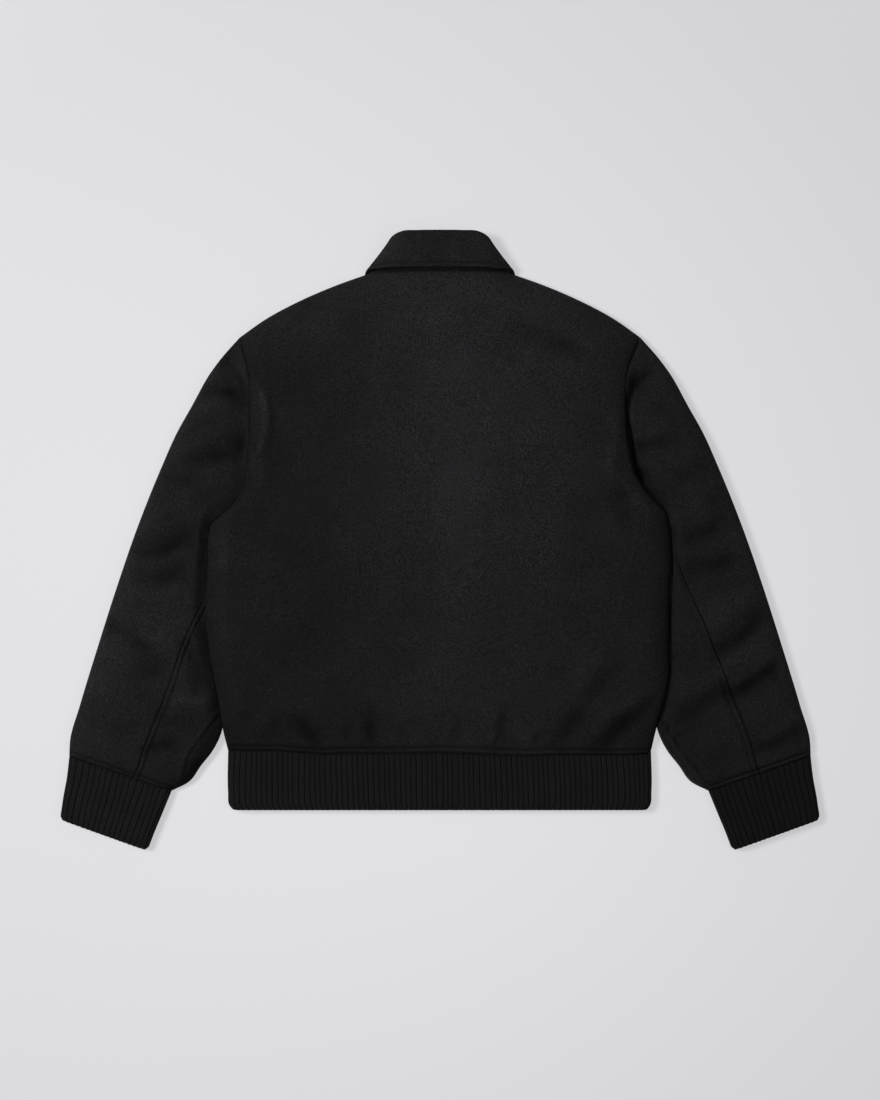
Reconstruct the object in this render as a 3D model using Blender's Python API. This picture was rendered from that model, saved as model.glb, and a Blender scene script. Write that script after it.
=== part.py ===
"""A collared bomber jacket lying flat on its front, its back towards +Z.

Sizes are in millimetres until a mesh is made. x is across the jacket, outward on each side, y runs up
from the hem to the collar and z up from the surface it lies on. "left" is the wearer's left, at -x.
"""

import bpy
import numpy as np

MM = 0.001
GAP = 0.3  # between two pieces at a seam
ARMHOLE_GAP = 0.42  # the same where the walls turn with the seam
CLOTH = 2.6  # wall of the wool
KNIT = 3.0  # wall of the rib knit
COLLAR = 3.0  # wall of the collar
LAP = 15.0  # each front reaches this far past the centre
LAP_LIFT = 3.3  # the right front rides this much over the left one
WING_LIFT = 4.0  # both fronts ride this much over the collar
STITCH = 7.0  # from a rib seam to its topstitching

HEM_Y = -250.0
HEM_END_Y = -322.0
HEM_RIBS = 81
CUFF_RIBS = 18
RIB_DEPTH = 1.3

SHOULDER = (239.0, 244.0)
NECK_SIDE = (86.0, 319.5)
SHOULDER_LINE = (SHOULDER, (210.0, 264.5), (165.0, 288.5), (120.0, 307.5), NECK_SIDE)  # x, y
NECK_BACK = ((86.0, 319.5), (60.0, 331.0), (30.0, 337.0), (0.0, 339.0))  # x, y
NECK_FRONT = ((86.0, 319.5), (72.0, 283.0), (45.0, 258.0), (18.0, 247.0), (0.0, 245.0))  # x, y

# Body side from the hem seam to the underarm: x, y.
SIDE = {
    "left": (
        (254, -250), (260, -224), (265, -191), (272, -155), (278, -119), (280, -71), (278, -30), (278, 1),
    ),
    "right": (
        (253, -250), (259, -224), (266, -203), (274, -167), (275, -119), (276, -59), (278, -23), (276, 13),
    ),
}
# Armhole seam from the underarm to the shoulder: x, y.
ARMHOLE = {
    "left": (
        (278, 1), (273, 20), (262, 31), (248, 43), (236, 61), (230, 97), (227, 145), (228, 199), (239, 244),
    ),
    "right": (
        (276, 13), (269, 35), (257, 47), (246, 59), (233, 79), (225, 110), (221, 155), (224, 205), (239, 244),
    ),
}
# Outer fold of the sleeve from the shoulder to the cuff seam: x, y.
OUTER = (
    (239, 244), (263, 217), (276, 199), (296, 163), (316, 127), (332, 91), (347, 55), (361, 19),
    (386, -53), (409, -125), (431, -197), (443, -240), (444, -257),
)
# Inner fold of the sleeve where it is clear of the body: x, y.
INNER_END = ((264, -236), (272, -251), (286, -269), (299, -287), (321, -299))
CUFF_OUTER = ((444, -257), (448, -283), (451.5, -308), (454, -325), (455.5, -333))  # x, y
CUFF_INNER = ((321, -299), (328, -316), (335, -333), (342, -350), (349.5, -369))  # x, y
# Hind-arm seam from the armhole to the cuff seam: x, y.
HIND_SEAM = {
    "left": (
        (278, -20), (281, -67), (294, -95), (312, -137), (322, -169), (336, -203), (350, -239), (366, -283),
    ),
    "right": (
        (276, 5), (283, -22), (292, -47), (310, -86), (332, -140), (348, -181), (368, -233), (382, -278),
    ),
}

# The largest folds: from x, y to x, y, width, depth. A depth below zero is a ridge.
BACK_FOLDS = {
    "left": (
        (208, 169, 212, 73, 9, -2.5),
        (140, 264, 120, 240, 22, -2.0),
        (166, -215, 146, -234, 12, 2.5),
        (79, -240, 82, -200, 12, 2.0),
    ),
    "right": (
        (96, 251, 167, 226, 15, 3.5),
        (120, 226, 168, 206, 13, -2.0),
        (142, -240, 166, -208, 11, 3.0),
        (184, -246, 221, -215, 11, 3.0),
        (221, -215, 252, -194, 11, 2.5),
        (73, -238, 79, -202, 11, 2.0),
    ),
}
SLEEVE_FOLDS = {
    "left": (
        (257, 217, 232, 163, 11, 3.5),
        (272, 180, 239, 175, 10, 2.5),
        (288, 95, 239, 120, 13, 3.5),
        (323, 74, 289, 64, 13, 2.5),
        (355, -12, 301, 4, 14, 4.0),
        (355, -48, 310, -37, 12, 3.0),
        (392, -103, 337, -152, 15, 5.5),
        (375, -120, 330, -120, 16, -2.5),
        (355, -179, 330, -196, 16, 2.5),
        (301, -125, 288, -181, 9, 3.5),
        (319, -192, 275, -192, 11, -2.5),
        (346, -248, 319, -244, 11, 3.0),
    ),
    "right": (
        (227, 168, 234, 187, 12, 5.0),
        (234, 187, 254, 203, 12, 3.0),
        (224, 133, 238, 80, 10, 5.5),
        (238, 80, 262, 40, 10, 5.0),
        (245, 113, 281, 120, 12, 3.5),
        (292, 74, 318, 86, 13, 2.5),
        (306, 4, 341, 25, 14, 3.5),
        (299, -37, 343, -24, 14, 4.0),
        (337, -125, 386, -89, 14, 5.5),
        (330, -95, 372, -66, 15, -2.5),
        (359, -176, 407, -152, 14, 5.5),
        (350, -145, 395, -122, 14, -2.5),
        (382, -251, 436, -230, 12, 4.0),
        (290, -199, 340, -181, 11, 4.0),
        (295, -178, 335, -160, 11, -2.5),
    ),
}

# The collar from the centre back round to the centre front: share of the way, height of its seam,
# then its fold (x, y, z), its edge (x, y, z) and which way is out (x, y, z).
COLLAR_LINES = (
    (0.000, 15.9, 0, 368.2, 22.0, 0, 328.6, 26.6, 0.00, 0.10, 1.00),
    (0.170, 15.6, 26, 368.2, 21.8, 32, 328.4, 26.0, 0.00, 0.15, 1.00),
    (0.340, 12.7, 48, 367.0, 19.5, 59, 327.6, 23.5, 0.20, 0.25, 1.00),
    (0.430, 9.5, 56, 361.5, 15.5, 75, 326.0, 19.0, 0.50, 0.35, 0.75),
    (0.500, 7.5, 60, 354.0, 11.5, 85.5, 323.7, 12.5, 0.80, 0.55, 0.25),
    (0.540, 6.6, 61.5, 349.0, 9.0, 88.5, 320.9, 7.0, 0.75, 0.50, -0.40),
    (0.580, 6.0, 63, 342.0, 6.2, 91.0, 314.5, 2.4, 0.35, 0.20, -0.90),
    (0.640, 5.5, 64, 330.0, 4.2, 92, 298.0, 1.8, 0.00, 0.00, -1.00),
    (0.760, 5.4, 58, 303.0, 3.5, 90, 263.0, 1.6, 0.00, 0.00, -1.00),
    (0.880, 5.4, 33, 286.0, 3.5, 74, 237.0, 1.6, 0.00, 0.00, -1.00),
    (0.985, 5.4, 2, 277.0, 3.5, 48, 220.0, 1.6, 0.00, 0.00, -1.00),
)

# Where the armhole's seam has points, as shares from the underarm to the shoulder, and which of them
# ends the run that faces down the sleeve. Then the same for the front neck seam.
ARMHOLE_AT = (0, 0.04, 0.1, 0.17, 0.24, 0.31, 0.39, 0.48, 0.57, 0.66, 0.75, 0.84, 0.92, 0.965, 0.988, 1)
ARMHOLE_TURN = 0.31
NECK_AT = (0, 0.16, 0.33, 0.5, 0.66, 0.78, 0.88, 1)


# Small curves and steps


def smooth(t):
    t = np.clip(t, 0.0, 1.0)
    return t * t * (3 - 2 * t)


def dome(t):
    """0 at t = 0, rising upright and levelling off at t = 1."""
    return np.sqrt(1 - (1 - np.clip(t, 0.0, 1.0)) ** 2)


def ease(t, knots):
    """A smooth step through the (t, value) knots."""
    at, value = np.array(knots, float).T
    t = np.clip(t, at[0], at[-1])
    i = np.clip(np.searchsorted(at, t, "right") - 1, 0, len(at) - 2)
    return value[i] + (value[i + 1] - value[i]) * smooth((t - at[i]) / (at[i + 1] - at[i]))


def spline(points):
    """A smooth curve through the points, as a function of the share of its length."""
    points = np.array(points, float)
    at = np.r_[0, np.cumsum(np.linalg.norm(np.diff(points, axis=0), axis=1))]
    at /= at[-1]
    slope = np.gradient(points, at, axis=0)

    def curve(t):
        t = np.clip(np.asarray(t, float), 0, 1)
        i = np.clip(np.searchsorted(at, t, "right") - 1, 0, len(at) - 2)
        h = (at[i + 1] - at[i])[..., None]
        f = (t[..., None] - at[i][..., None]) / h
        return (
            (1 + 2 * f) * (1 - f) ** 2 * points[i]
            + f * (1 - f) ** 2 * h * slope[i]
            + f * f * (3 - 2 * f) * points[i + 1]
            - f * f * (1 - f) * h * slope[i + 1]
        )

    return curve


def joined(first, second, knot=0.5):
    """Two curves as one, the second starting at the knot."""

    def curve(t):
        t = np.asarray(t, float)
        late = (t > knot)[..., None]
        return np.where(late, second((t - knot) / (1 - knot)), first(t / knot))

    return curve


def broken(curve, at):
    """The curve made of straight runs between the shares given."""
    at = np.array(at, float)
    points = curve(at)
    return lambda t: np.stack([np.interp(t, at, points[:, k]) for k in range(points.shape[1])], axis=-1)


def shifted(curve, by):
    """The curve moved sideways, to the right of its direction."""

    def moved(t):
        t = np.asarray(t, float)
        step = curve(np.minimum(t + 1e-3, 1)) - curve(np.maximum(t - 1e-3, 0))
        step /= np.linalg.norm(step, axis=-1, keepdims=True)
        return curve(t) + by * np.stack([step[..., 1], -step[..., 0]], axis=-1)

    return moved


def mirrored(curve):
    return lambda t: curve(t) * (-1, 1)


def coons(bottom, top, first, last):
    """The patch across four curves: bottom and top run with s, first and last with r."""
    corner = [edge(end) for edge in (bottom, top) for end in (0.0, 1.0)]

    def patch(s, r):
        s, r = s[..., None], r[..., None]
        across = (1 - r) * bottom(s[..., 0]) + r * top(s[..., 0])
        along = (1 - s) * first(r[..., 0]) + s * last(r[..., 0])
        low = (1 - s) * corner[0] + s * corner[1]
        high = (1 - s) * corner[2] + s * corner[3]
        return across + along - (1 - r) * low - r * high

    return patch


def folds(x, y, table):
    """How far the folds push the cloth down at x, y."""
    down = np.zeros_like(x)
    for x0, y0, x1, y1, width, depth in table:
        t = np.clip(((x - x0) * (x1 - x0) + (y - y0) * (y1 - y0)) / ((x1 - x0) ** 2 + (y1 - y0) ** 2), 0, 1)
        away = np.hypot(x - x0 - t * (x1 - x0), y - y0 - t * (y1 - y0))
        down += depth * np.exp(-((away / width) ** 2))
    return down


def seam_ridge(d):
    """The turned-in seam allowance: a low ridge beside a rib seam, then the dip of its topstitching."""
    return 0.9 * np.exp(-(((d - 3.4) / 2.4) ** 2)) - 1.0 * np.exp(-(((d - STITCH) / 1.5) ** 2))


# Meshes


def unit(vectors):
    return vectors / np.linalg.norm(vectors, axis=-1, keepdims=True)


def normals(layer, s, r, side):
    """Which way a layer faces, from points just beside each one. side is 1 for up and -1 for down."""
    e = 5e-4
    across = layer(np.minimum(s + e, 1), r) - layer(np.maximum(s - e, 0), r)
    along = layer(s, np.minimum(r + e, 1)) - layer(s, np.maximum(r - e, 0))
    found = unit(np.cross(across, along))
    return found * np.where(found[..., 2:] * side < 0, -1, 1)


def outward(curve, t, side):
    """Level, square to the curve. side is 1 for the right of its direction."""
    step = curve(np.minimum(t + 1e-3, 1)) - curve(np.maximum(t - 1e-3, 0))
    return unit(side * np.stack([step[..., 1], -step[..., 0], np.zeros(step.shape[:-1])], axis=-1))


def quads(at):
    """The faces between the points numbered in a grid."""
    return np.stack([at[:-1, :-1], at[:-1, 1:], at[1:, 1:], at[1:, :-1]], axis=-1).reshape(-1, 4).tolist()


def strip(points, a, b):
    """Triangles between two lines of points that start and end side by side, by the shorter way across."""
    faces = []
    i, j = 0, 0
    while i < len(a) - 1 or j < len(b) - 1:
        on_a = np.linalg.norm(points[a[min(i + 1, len(a) - 1)]] - points[b[j]])
        on_b = np.linalg.norm(points[a[i]] - points[b[min(j + 1, len(b) - 1)]])
        if j == len(b) - 1 or (i < len(a) - 1 and on_a <= on_b):
            faces.append((a[i], a[i + 1], b[j]))
            i += 1
        else:
            faces.append((a[i], b[j + 1], b[j]))
            j += 1
    return faces


def make(name, points, faces, material):
    """One closed solid, its faces turned outward."""
    points = np.asarray(points, float)
    volume = 0.0
    for face in faces:
        for k in range(1, len(face) - 1):
            volume += np.dot(points[face[0]], np.cross(points[face[k]], points[face[k + 1]]))
    if volume < 0:
        faces = [tuple(reversed(face)) for face in faces]
    mesh = bpy.data.meshes.new(name)
    mesh.from_pydata((points * MM).tolist(), [], faces)
    mesh.polygons.foreach_set("use_smooth", [True] * len(mesh.polygons))
    mesh.materials.append(material)
    mesh.update()
    solid = bpy.data.objects.new(name, mesh)
    bpy.context.scene.collection.objects.link(solid)
    return solid


def sheet(name, outer, inner, material):
    """A solid between two grids of the same size, closed round its edge."""
    rows, columns = outer.shape[:2]
    top = np.arange(rows * columns).reshape(rows, columns)
    below = top + rows * columns
    faces = quads(top) + quads(below[::-1])
    edges = (top[0], below[0]), (below[-1], top[-1]), (below[:, 0], top[:, 0]), (top[:, -1], below[:, -1])
    for a, b in edges:
        faces += quads(np.stack([b, a]))
    return make(name, np.concatenate([outer.reshape(-1, 3), inner.reshape(-1, 3)]), faces, material)


def wall(name, outer, inner, material, closed):
    """A wall of outer points over a coarser one of inner points: a tube where closed, or else a strip."""
    rows, columns = outer.shape[:2]
    top = np.arange(rows * columns).reshape(rows, columns)
    below = rows * columns + np.arange(inner.shape[0] * inner.shape[1]).reshape(inner.shape[:2])
    if closed:
        top = np.c_[top, top[:, 0]]
        below = np.c_[below, below[:, 0]]
    points = np.concatenate([outer.reshape(-1, 3), inner.reshape(-1, 3)])
    faces = quads(top) + quads(below[::-1])
    faces += strip(points, below[0], top[0]) + strip(points, top[-1], below[-1])
    if not closed:
        faces += strip(points, top[:, 0], below[:, 0]) + strip(points, below[:, -1], top[:, -1])
    return make(name, points, faces, material)


def cloth(name, colour, roughness):
    material = bpy.data.materials.new(name)
    material.use_nodes = True
    shader = material.node_tree.nodes["Principled BSDF"]
    shader.inputs["Base Color"].default_value = (*colour, 1)
    shader.inputs["Roughness"].default_value = roughness
    return material


# The body


def edge_steps(depth, count):
    """Distances from an edge that follow a quarter round."""
    return depth * (1 - np.cos(np.linspace(0, np.pi / 2, count)))


BODY_HALF = 262.0
BODY_LONG = 540.0
SIDE_Z = 10.0
SHOULDER_Z = 8.0
HEM_RISE = 0.061
SIDE_EDGE = (
    (0, 6.4), (HEM_RISE, SIDE_Z), (0.5, SIDE_Z), (0.58, 16.5), (0.66, 19.5), (0.88, 19), (1, SHOULDER_Z),
)
NECK_EDGE = ((0, 17.3), (30, 16.9), (60, 14.3), (86, SHOULDER_Z), (240, SHOULDER_Z))
BACK_HEIGHT = ((0, 12.4), (0.025, 17.5), (0.1, 24), (0.3, 27), (0.6, 27.5), (0.85, 26), (1, 23))


def armhole_curve(side, away=0.0):
    return broken(shifted(spline(ARMHOLE[side]), away), ARMHOLE_AT)


def side_curve(side):
    return joined(spline(SIDE[side]), armhole_curve(side))


def rim_height(r):
    """Height of the back panel's edge up the side and round the armhole, over its share of the way up."""
    return np.where(r < HEM_RISE, np.interp(r, (0, HEM_RISE), (SIDE_EDGE[0][1], SIDE_Z)), ease(r, SIDE_EDGE))


def flipped(side):
    return -1.0 if side == "left" else 1.0


def back_patch():
    hem = spline(((-254, HEM_Y), (0, HEM_Y), (253, HEM_Y)))
    neck = spline([(-x, y) for x, y in NECK_BACK] + [(x, y) for x, y in NECK_BACK[-2::-1]])
    left = spline([(-x, y) for x, y in SHOULDER_LINE])
    right = spline(SHOULDER_LINE[::-1])
    top = joined(joined(left, neck, 0.5), right, 2 / 3)
    return coons(hem, top, mirrored(side_curve("left")), side_curve("right"))


def back_layer():
    patch = back_patch()

    def layer(s, r):
        xy = patch(s, r)
        x, y = xy[..., 0], xy[..., 1]
        d_side = (1 - abs(2 * s - 1)) * BODY_HALF
        d_top = (1 - r) * BODY_LONG
        rim = rim_height(r)
        top = ease(abs(x), NECK_EDGE)
        edge = (rim * d_top**2 + top * d_side**2 + 1e-9 * rim) / (d_side**2 + d_top**2 + 1e-9)
        full = ease(r, BACK_HEIGHT) - 2.5 * (2 * s - 1) ** 2
        full = np.maximum(full, edge)
        z = edge + (full - edge) * dome(d_side / 32) * dome(d_top / 36)
        fade = smooth(d_side / 16) * smooth(d_top / 16) * smooth(r * 590 / 14)
        down = np.where(x < 0, folds(-x, y, BACK_FOLDS["left"]), folds(x, y, BACK_FOLDS["right"]))
        z = z - down * fade + seam_ridge(r * 590) * smooth(d_side / 8)
        return np.stack([x, y, z], axis=-1)

    return layer


ARMHOLE_LONG = 260.0


def underarm_height(d):
    """How high the lower armhole seam is, this far from the underarm."""
    return SIDE_Z * (1 - dome(d / 18))


def armhole_facing(side, t, sleeve, up):
    """Which way the walls face along the armhole: t runs from the underarm (0) to the shoulder (1)."""
    sign = flipped(side)
    at_shoulder = smooth((t - 0.93) / 0.07)[..., None]
    at_underarm = smooth((0.08 - t) / 0.08)[..., None]
    shoulder = np.array((0.55 * sign, 0.83, 0.0))
    underarm = np.array(((-sign if sleeve else sign), -1.0, 0.0)) / np.sqrt(2)
    middle = np.array((0.0, 0.0, 1.0 if up else -1.0))
    return unit(at_shoulder * shoulder + at_underarm * underarm + (1 - at_shoulder - at_underarm) * middle)


HEM_ROWS = np.array((0.0, 3.4, STITCH, 10.5, 20.0, 36.0)) / 590


def rise_rows(hem, side_count):
    """Rows from the hem seam to the shoulder."""
    armhole = 0.5 + np.array(ARMHOLE_AT) / 2
    return np.r_[hem, np.linspace(HEM_RISE, 0.5, side_count)[1:-1], armhole]


def build_back(material):
    layer = back_layer()
    rows = rise_rows(HEM_ROWS, 8)
    near = edge_steps(32, 4) / BODY_HALF / 2
    columns = np.r_[near, np.linspace(3, 24, 22) / 27, 1 - near[::-1]]
    s, r = np.meshgrid(columns, rows)
    r = np.maximum(r, GAP / 2 / BODY_LONG)
    outer = layer(s, r)
    facing = normals(layer, s, r, 1)
    for side, k in (("left", 0), ("right", -1)):
        curve = side_curve(side)
        rr = r[:, k]
        level = outward(curve, rr, 1) * (flipped(side), 1, 1)
        hole = armhole_facing(side, (rr - 0.5) * 2, False, True)
        facing[:, k] = np.where((rr < 0.5)[:, None], level, hole)
        outer[:, k, 2] += GAP / 2
    top = back_patch()
    ends = outward(lambda t: top(t, np.ones_like(t)), s[-1], -1)
    neck = abs(outer[-1, :, 0]) < NECK_SIDE[0] - 1
    ends = np.where(neck[:, None], unit(np.array((0.0, 0.05, 1.0))), ends)
    facing[-1] = ends
    outer[-1, :, 2] += GAP / 2
    return sheet("back", outer, outer - CLOTH * facing, material)


def front_neck():
    return broken(spline(NECK_FRONT + ((-LAP, NECK_FRONT[-1][1]),)), NECK_AT)


def front_patch(side):
    """s runs from the side seam to the centre edge, r from the hem seam to the shoulder and neck."""
    reach = -LAP
    hem = spline(((254 if side == "left" else 253, HEM_Y), (120, HEM_Y), (reach, HEM_Y)))
    shoulder = spline(SHOULDER_LINE)
    centre = spline(((reach, HEM_Y), (reach, 0), (reach, NECK_FRONT[-1][1])))
    return coons(hem, joined(shoulder, front_neck(), 0.55), side_curve(side), centre)


def front_layer(side):
    patch = front_patch(side)

    def layer(s, r):
        xy = patch(s, r)
        x, y = xy[..., 0], xy[..., 1]
        d_side = s * 270
        d_top = (1 - r) * BODY_LONG
        edge = np.where(r < 0.5, rim_height(r), underarm_height((r - 0.5) * 2 * ARMHOLE_LONG))
        z = WING_LIFT * smooth((y - 150) / 40) * smooth((148 - x) / 36)
        if side == "right":
            z = z + LAP_LIFT * smooth((32 - x) / 13)
        shoulder = (1 - dome(d_top / SHOULDER_Z)) * (1 - smooth((NECK_SIDE[0] - x) / 12))
        z = z + (SHOULDER_Z - z) * shoulder + edge * (1 - dome(d_side / SIDE_Z)) * (1 - shoulder)
        return np.stack([x, y, z], axis=-1)

    return layer


def build_front(side, material):
    layer = front_layer(side)
    rows = rise_rows(np.array((0, HEM_RISE)), 6)
    past_edge = np.linspace(0.13, 0.55, 5)[:-1]
    columns = np.r_[edge_steps(SIDE_Z, 4) / 270, past_edge, 0.55 + 0.45 * np.array(NECK_AT)]
    s, r = np.meshgrid(columns, rows)
    r = np.maximum(r, GAP / 2 / BODY_LONG)
    outer = layer(s, r)
    facing = normals(layer, s, r, -1)
    curve = side_curve(side)
    rr = r[:, 0]
    hole = armhole_facing("right", (rr - 0.5) * 2, False, False)
    facing[:, 0] = np.where((rr < 0.5)[:, None], outward(curve, rr, 1), hole)
    outer[:, 0, 2] = np.maximum(outer[:, 0, 2] - 2 * GAP / 3, 0)
    patch = front_patch(side)
    ends = outward(lambda t: patch(t, np.ones_like(t)), s[-1], 1)
    neck = outer[-1, :, 0] < NECK_SIDE[0] - 1
    facing[-1] = np.where(neck[:, None], (0.0, 0.0, -1.0), ends)
    outer[-1, :, 2] -= GAP / 2 * ~neck
    turn = np.array((flipped(side), 1, 1))
    return sheet("front_" + side, outer * turn, (outer - CLOTH * facing) * turn, material)


# The sleeves

UNDERARM_AT = 0.3  # share of the inner edge that is armhole
NARROWEST = 6.5  # width of the under sleeve where it begins, at the underarm

SLEEVE_LONG = 410.0
SLEEVE_HEIGHT = ((0, 21), (0.12, 21.5), (0.5, 22), (0.8, 20.5), (0.955, 18.5), (1, 12.4))
SLEEVE_OUTER_Z = ((0, SHOULDER_Z), (0.1, 9.0), (0.9, 8.5), (1, 6.2))
SLEEVE_INNER_Z = ((0, SIDE_Z), (0.1, 9.0), (0.9, 8.0), (1, 6.2))


def inner_curve(side):
    """The sleeve's inner fold: beside the body, then away from it to the cuff."""
    beside = shifted(spline(SIDE[side]), 1.7)
    points = [tuple(beside(t)) for t in (0.93, 0.8, 0.62, 0.45, 0.3, 0.18)]
    return spline([tuple(armhole_curve(side, ARMHOLE_GAP)(0.0))] + points + list(INNER_END))


def sleeve_patch(side):
    """s runs from the outer fold to the inner fold, r from the armhole to the cuff seam.

    The armhole's lower run, from ARMHOLE_TURN to the underarm, is the start of the inner edge.
    """
    armhole = armhole_curve(side, ARMHOLE_GAP)
    first_run = lambda t: armhole(1 - np.asarray(t, float) * (1 - ARMHOLE_TURN))
    second_run = lambda t: armhole(ARMHOLE_TURN * (1 - np.asarray(t, float)))
    inner = joined(second_run, inner_curve(side), UNDERARM_AT)
    outer = spline(OUTER)
    step = armhole(1.0) - outer(0.0)
    ahead = lambda t: np.asarray(t, float) + 0.1 * np.sin(np.pi * np.asarray(t, float))
    outer_edge = lambda t: outer(ahead(t)) + (1 - smooth(np.asarray(t, float) * 20))[..., None] * step
    cuff = spline((OUTER[-1], INNER_END[-1]))
    return coons(first_run, cuff, outer_edge, inner)


def sleeve_layer(side, up):
    patch = sleeve_patch(side)

    def layer(s, r):
        xy = patch(s, r)
        x, y = xy[..., 0], xy[..., 1]
        ends = patch(np.zeros_like(s), r) - patch(np.ones_like(s), r)
        width = np.linalg.norm(ends, axis=-1)
        d_outer, d_inner = s * width, (1 - s) * width
        early = r < UNDERARM_AT
        from_underarm = ARMHOLE_TURN * ARMHOLE_LONG * (1 - r / UNDERARM_AT)
        z_outer, z_inner = ease(r, SLEEVE_OUTER_Z), ease(r, SLEEVE_INNER_Z)
        if not up:
            z_inner = np.where(early, underarm_height(from_underarm), z_inner)
            z = z_outer * (1 - dome(d_outer / z_outer)) + z_inner * (1 - dome(d_inner / SIDE_Z))
            return np.stack([x, y, z], axis=-1)
        sunk = 1.6 * smooth(from_underarm / 40)
        z_inner = np.where(early, rim_height(0.5 + ARMHOLE_TURN / 2 * (1 - r / UNDERARM_AT)) - sunk, z_inner)
        edge = z_outer + (z_inner - z_outer) * s
        full = np.maximum(ease(r, SLEEVE_HEIGHT), edge)
        pillow = edge + (full - edge) * dome(d_outer / (0.42 * width)) * dome(d_inner / 22)
        seam = rim_height(1 - s * (1 - ARMHOLE_TURN) / 2) - 1.6 * smooth(s / 0.15)
        near = 1 - smooth(r * SLEEVE_LONG / 40)
        z = near * seam + (1 - near) * pillow
        from_cuff = (1 - r) * SLEEVE_LONG
        fade = smooth(d_outer / 14) * smooth(d_inner / 10)
        fade *= smooth(r * SLEEVE_LONG / 8) * smooth(from_cuff / 14)
        ridge = seam_ridge(from_cuff) * smooth(d_outer / 8) * smooth(d_inner / 8)
        return np.stack([x, y, z - folds(x, y, SLEEVE_FOLDS[side]) * fade + ridge], axis=-1)

    return layer


def located(patch, points, s, r):
    """The s and r of points on the patch, found from near ones."""
    e = 1e-3
    for _ in range(12):
        here = patch(s, r)
        across = (patch(s + e, r) - here) / e
        along = (patch(s, r + e) - here) / e
        miss = points - here
        det = across[:, 0] * along[:, 1] - across[:, 1] * along[:, 0]
        s = s + np.clip((miss[:, 0] * along[:, 1] - miss[:, 1] * along[:, 0]) / det, -0.1, 0.1)
        r = r + np.clip((across[:, 0] * miss[:, 1] - across[:, 1] * miss[:, 0]) / det, -0.1, 0.1)
        s, r = np.clip(s, 0, 0.998), np.clip(r, 0, 0.998)
    return s, r


def seam_across(side, r):
    """Where the hind-arm seam crosses each ring, as a share from the outer fold."""
    patch = sleeve_patch(side)
    s_grid, r_grid = np.meshgrid(np.linspace(0.3, 0.99, 80), np.linspace(0.05, 0.99, 120))
    xy = patch(s_grid, r_grid)
    seam = spline(HIND_SEAM[side])(np.linspace(0, 0.98, 15))
    nearest = [np.argmin(np.linalg.norm(xy - point, axis=-1)) for point in seam]
    s, r_found = located(patch, seam, s_grid.flat[nearest], r_grid.flat[nearest])
    order = np.argsort(r_found)
    share = np.interp(r, r_found[order], s[order], left=1.0)
    share = share + (r > r_found.max()) * (r - r_found.max()) * (s[order][-1] - s[order][-3]) / (
        r_found[order][-1] - r_found[order][-3]
    )
    edge = np.ones_like(r)
    across = (patch(edge, r) - patch(edge - 1e-3, r)) / 1e-3
    on = np.minimum(r + 5e-3, 1)
    run = unit(patch(edge, on) - patch(edge, on - 5e-3))
    return np.minimum(share, 1 - NARROWEST / abs(across[:, 0] * run[:, 1] - across[:, 1] * run[:, 0]))


def seam_apart(patch, seam, rows):
    """Half the gap at the hind-arm seam, as a share across, measured square to the seam."""
    late = rows > UNDERARM_AT
    line = patch(seam, rows)
    run = unit(np.diff(line, axis=0))
    before, after = np.r_[run[:1], run], np.r_[run, run[-1:]]
    across = (line - patch(seam - 1e-3, rows)) / 1e-3
    square = [abs(across[:, 0] * way[:, 1] - across[:, 1] * way[:, 0]) for way in (before, after)]
    first = np.argmax(late)
    square[0][first] = square[1][first]
    return 0.9 * GAP / np.minimum(*square)


def sleeve_rows():
    armhole = UNDERARM_AT * (1 - np.array(ARMHOLE_AT[:6])[::-1] / ARMHOLE_TURN)
    end = 1 - np.array((30.0, 18.0, 10.5, STITCH, 3.4, 0.0)) / SLEEVE_LONG
    return np.r_[armhole, UNDERARM_AT + 0.008, np.linspace(0.335, 0.9, 17), end]


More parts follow.
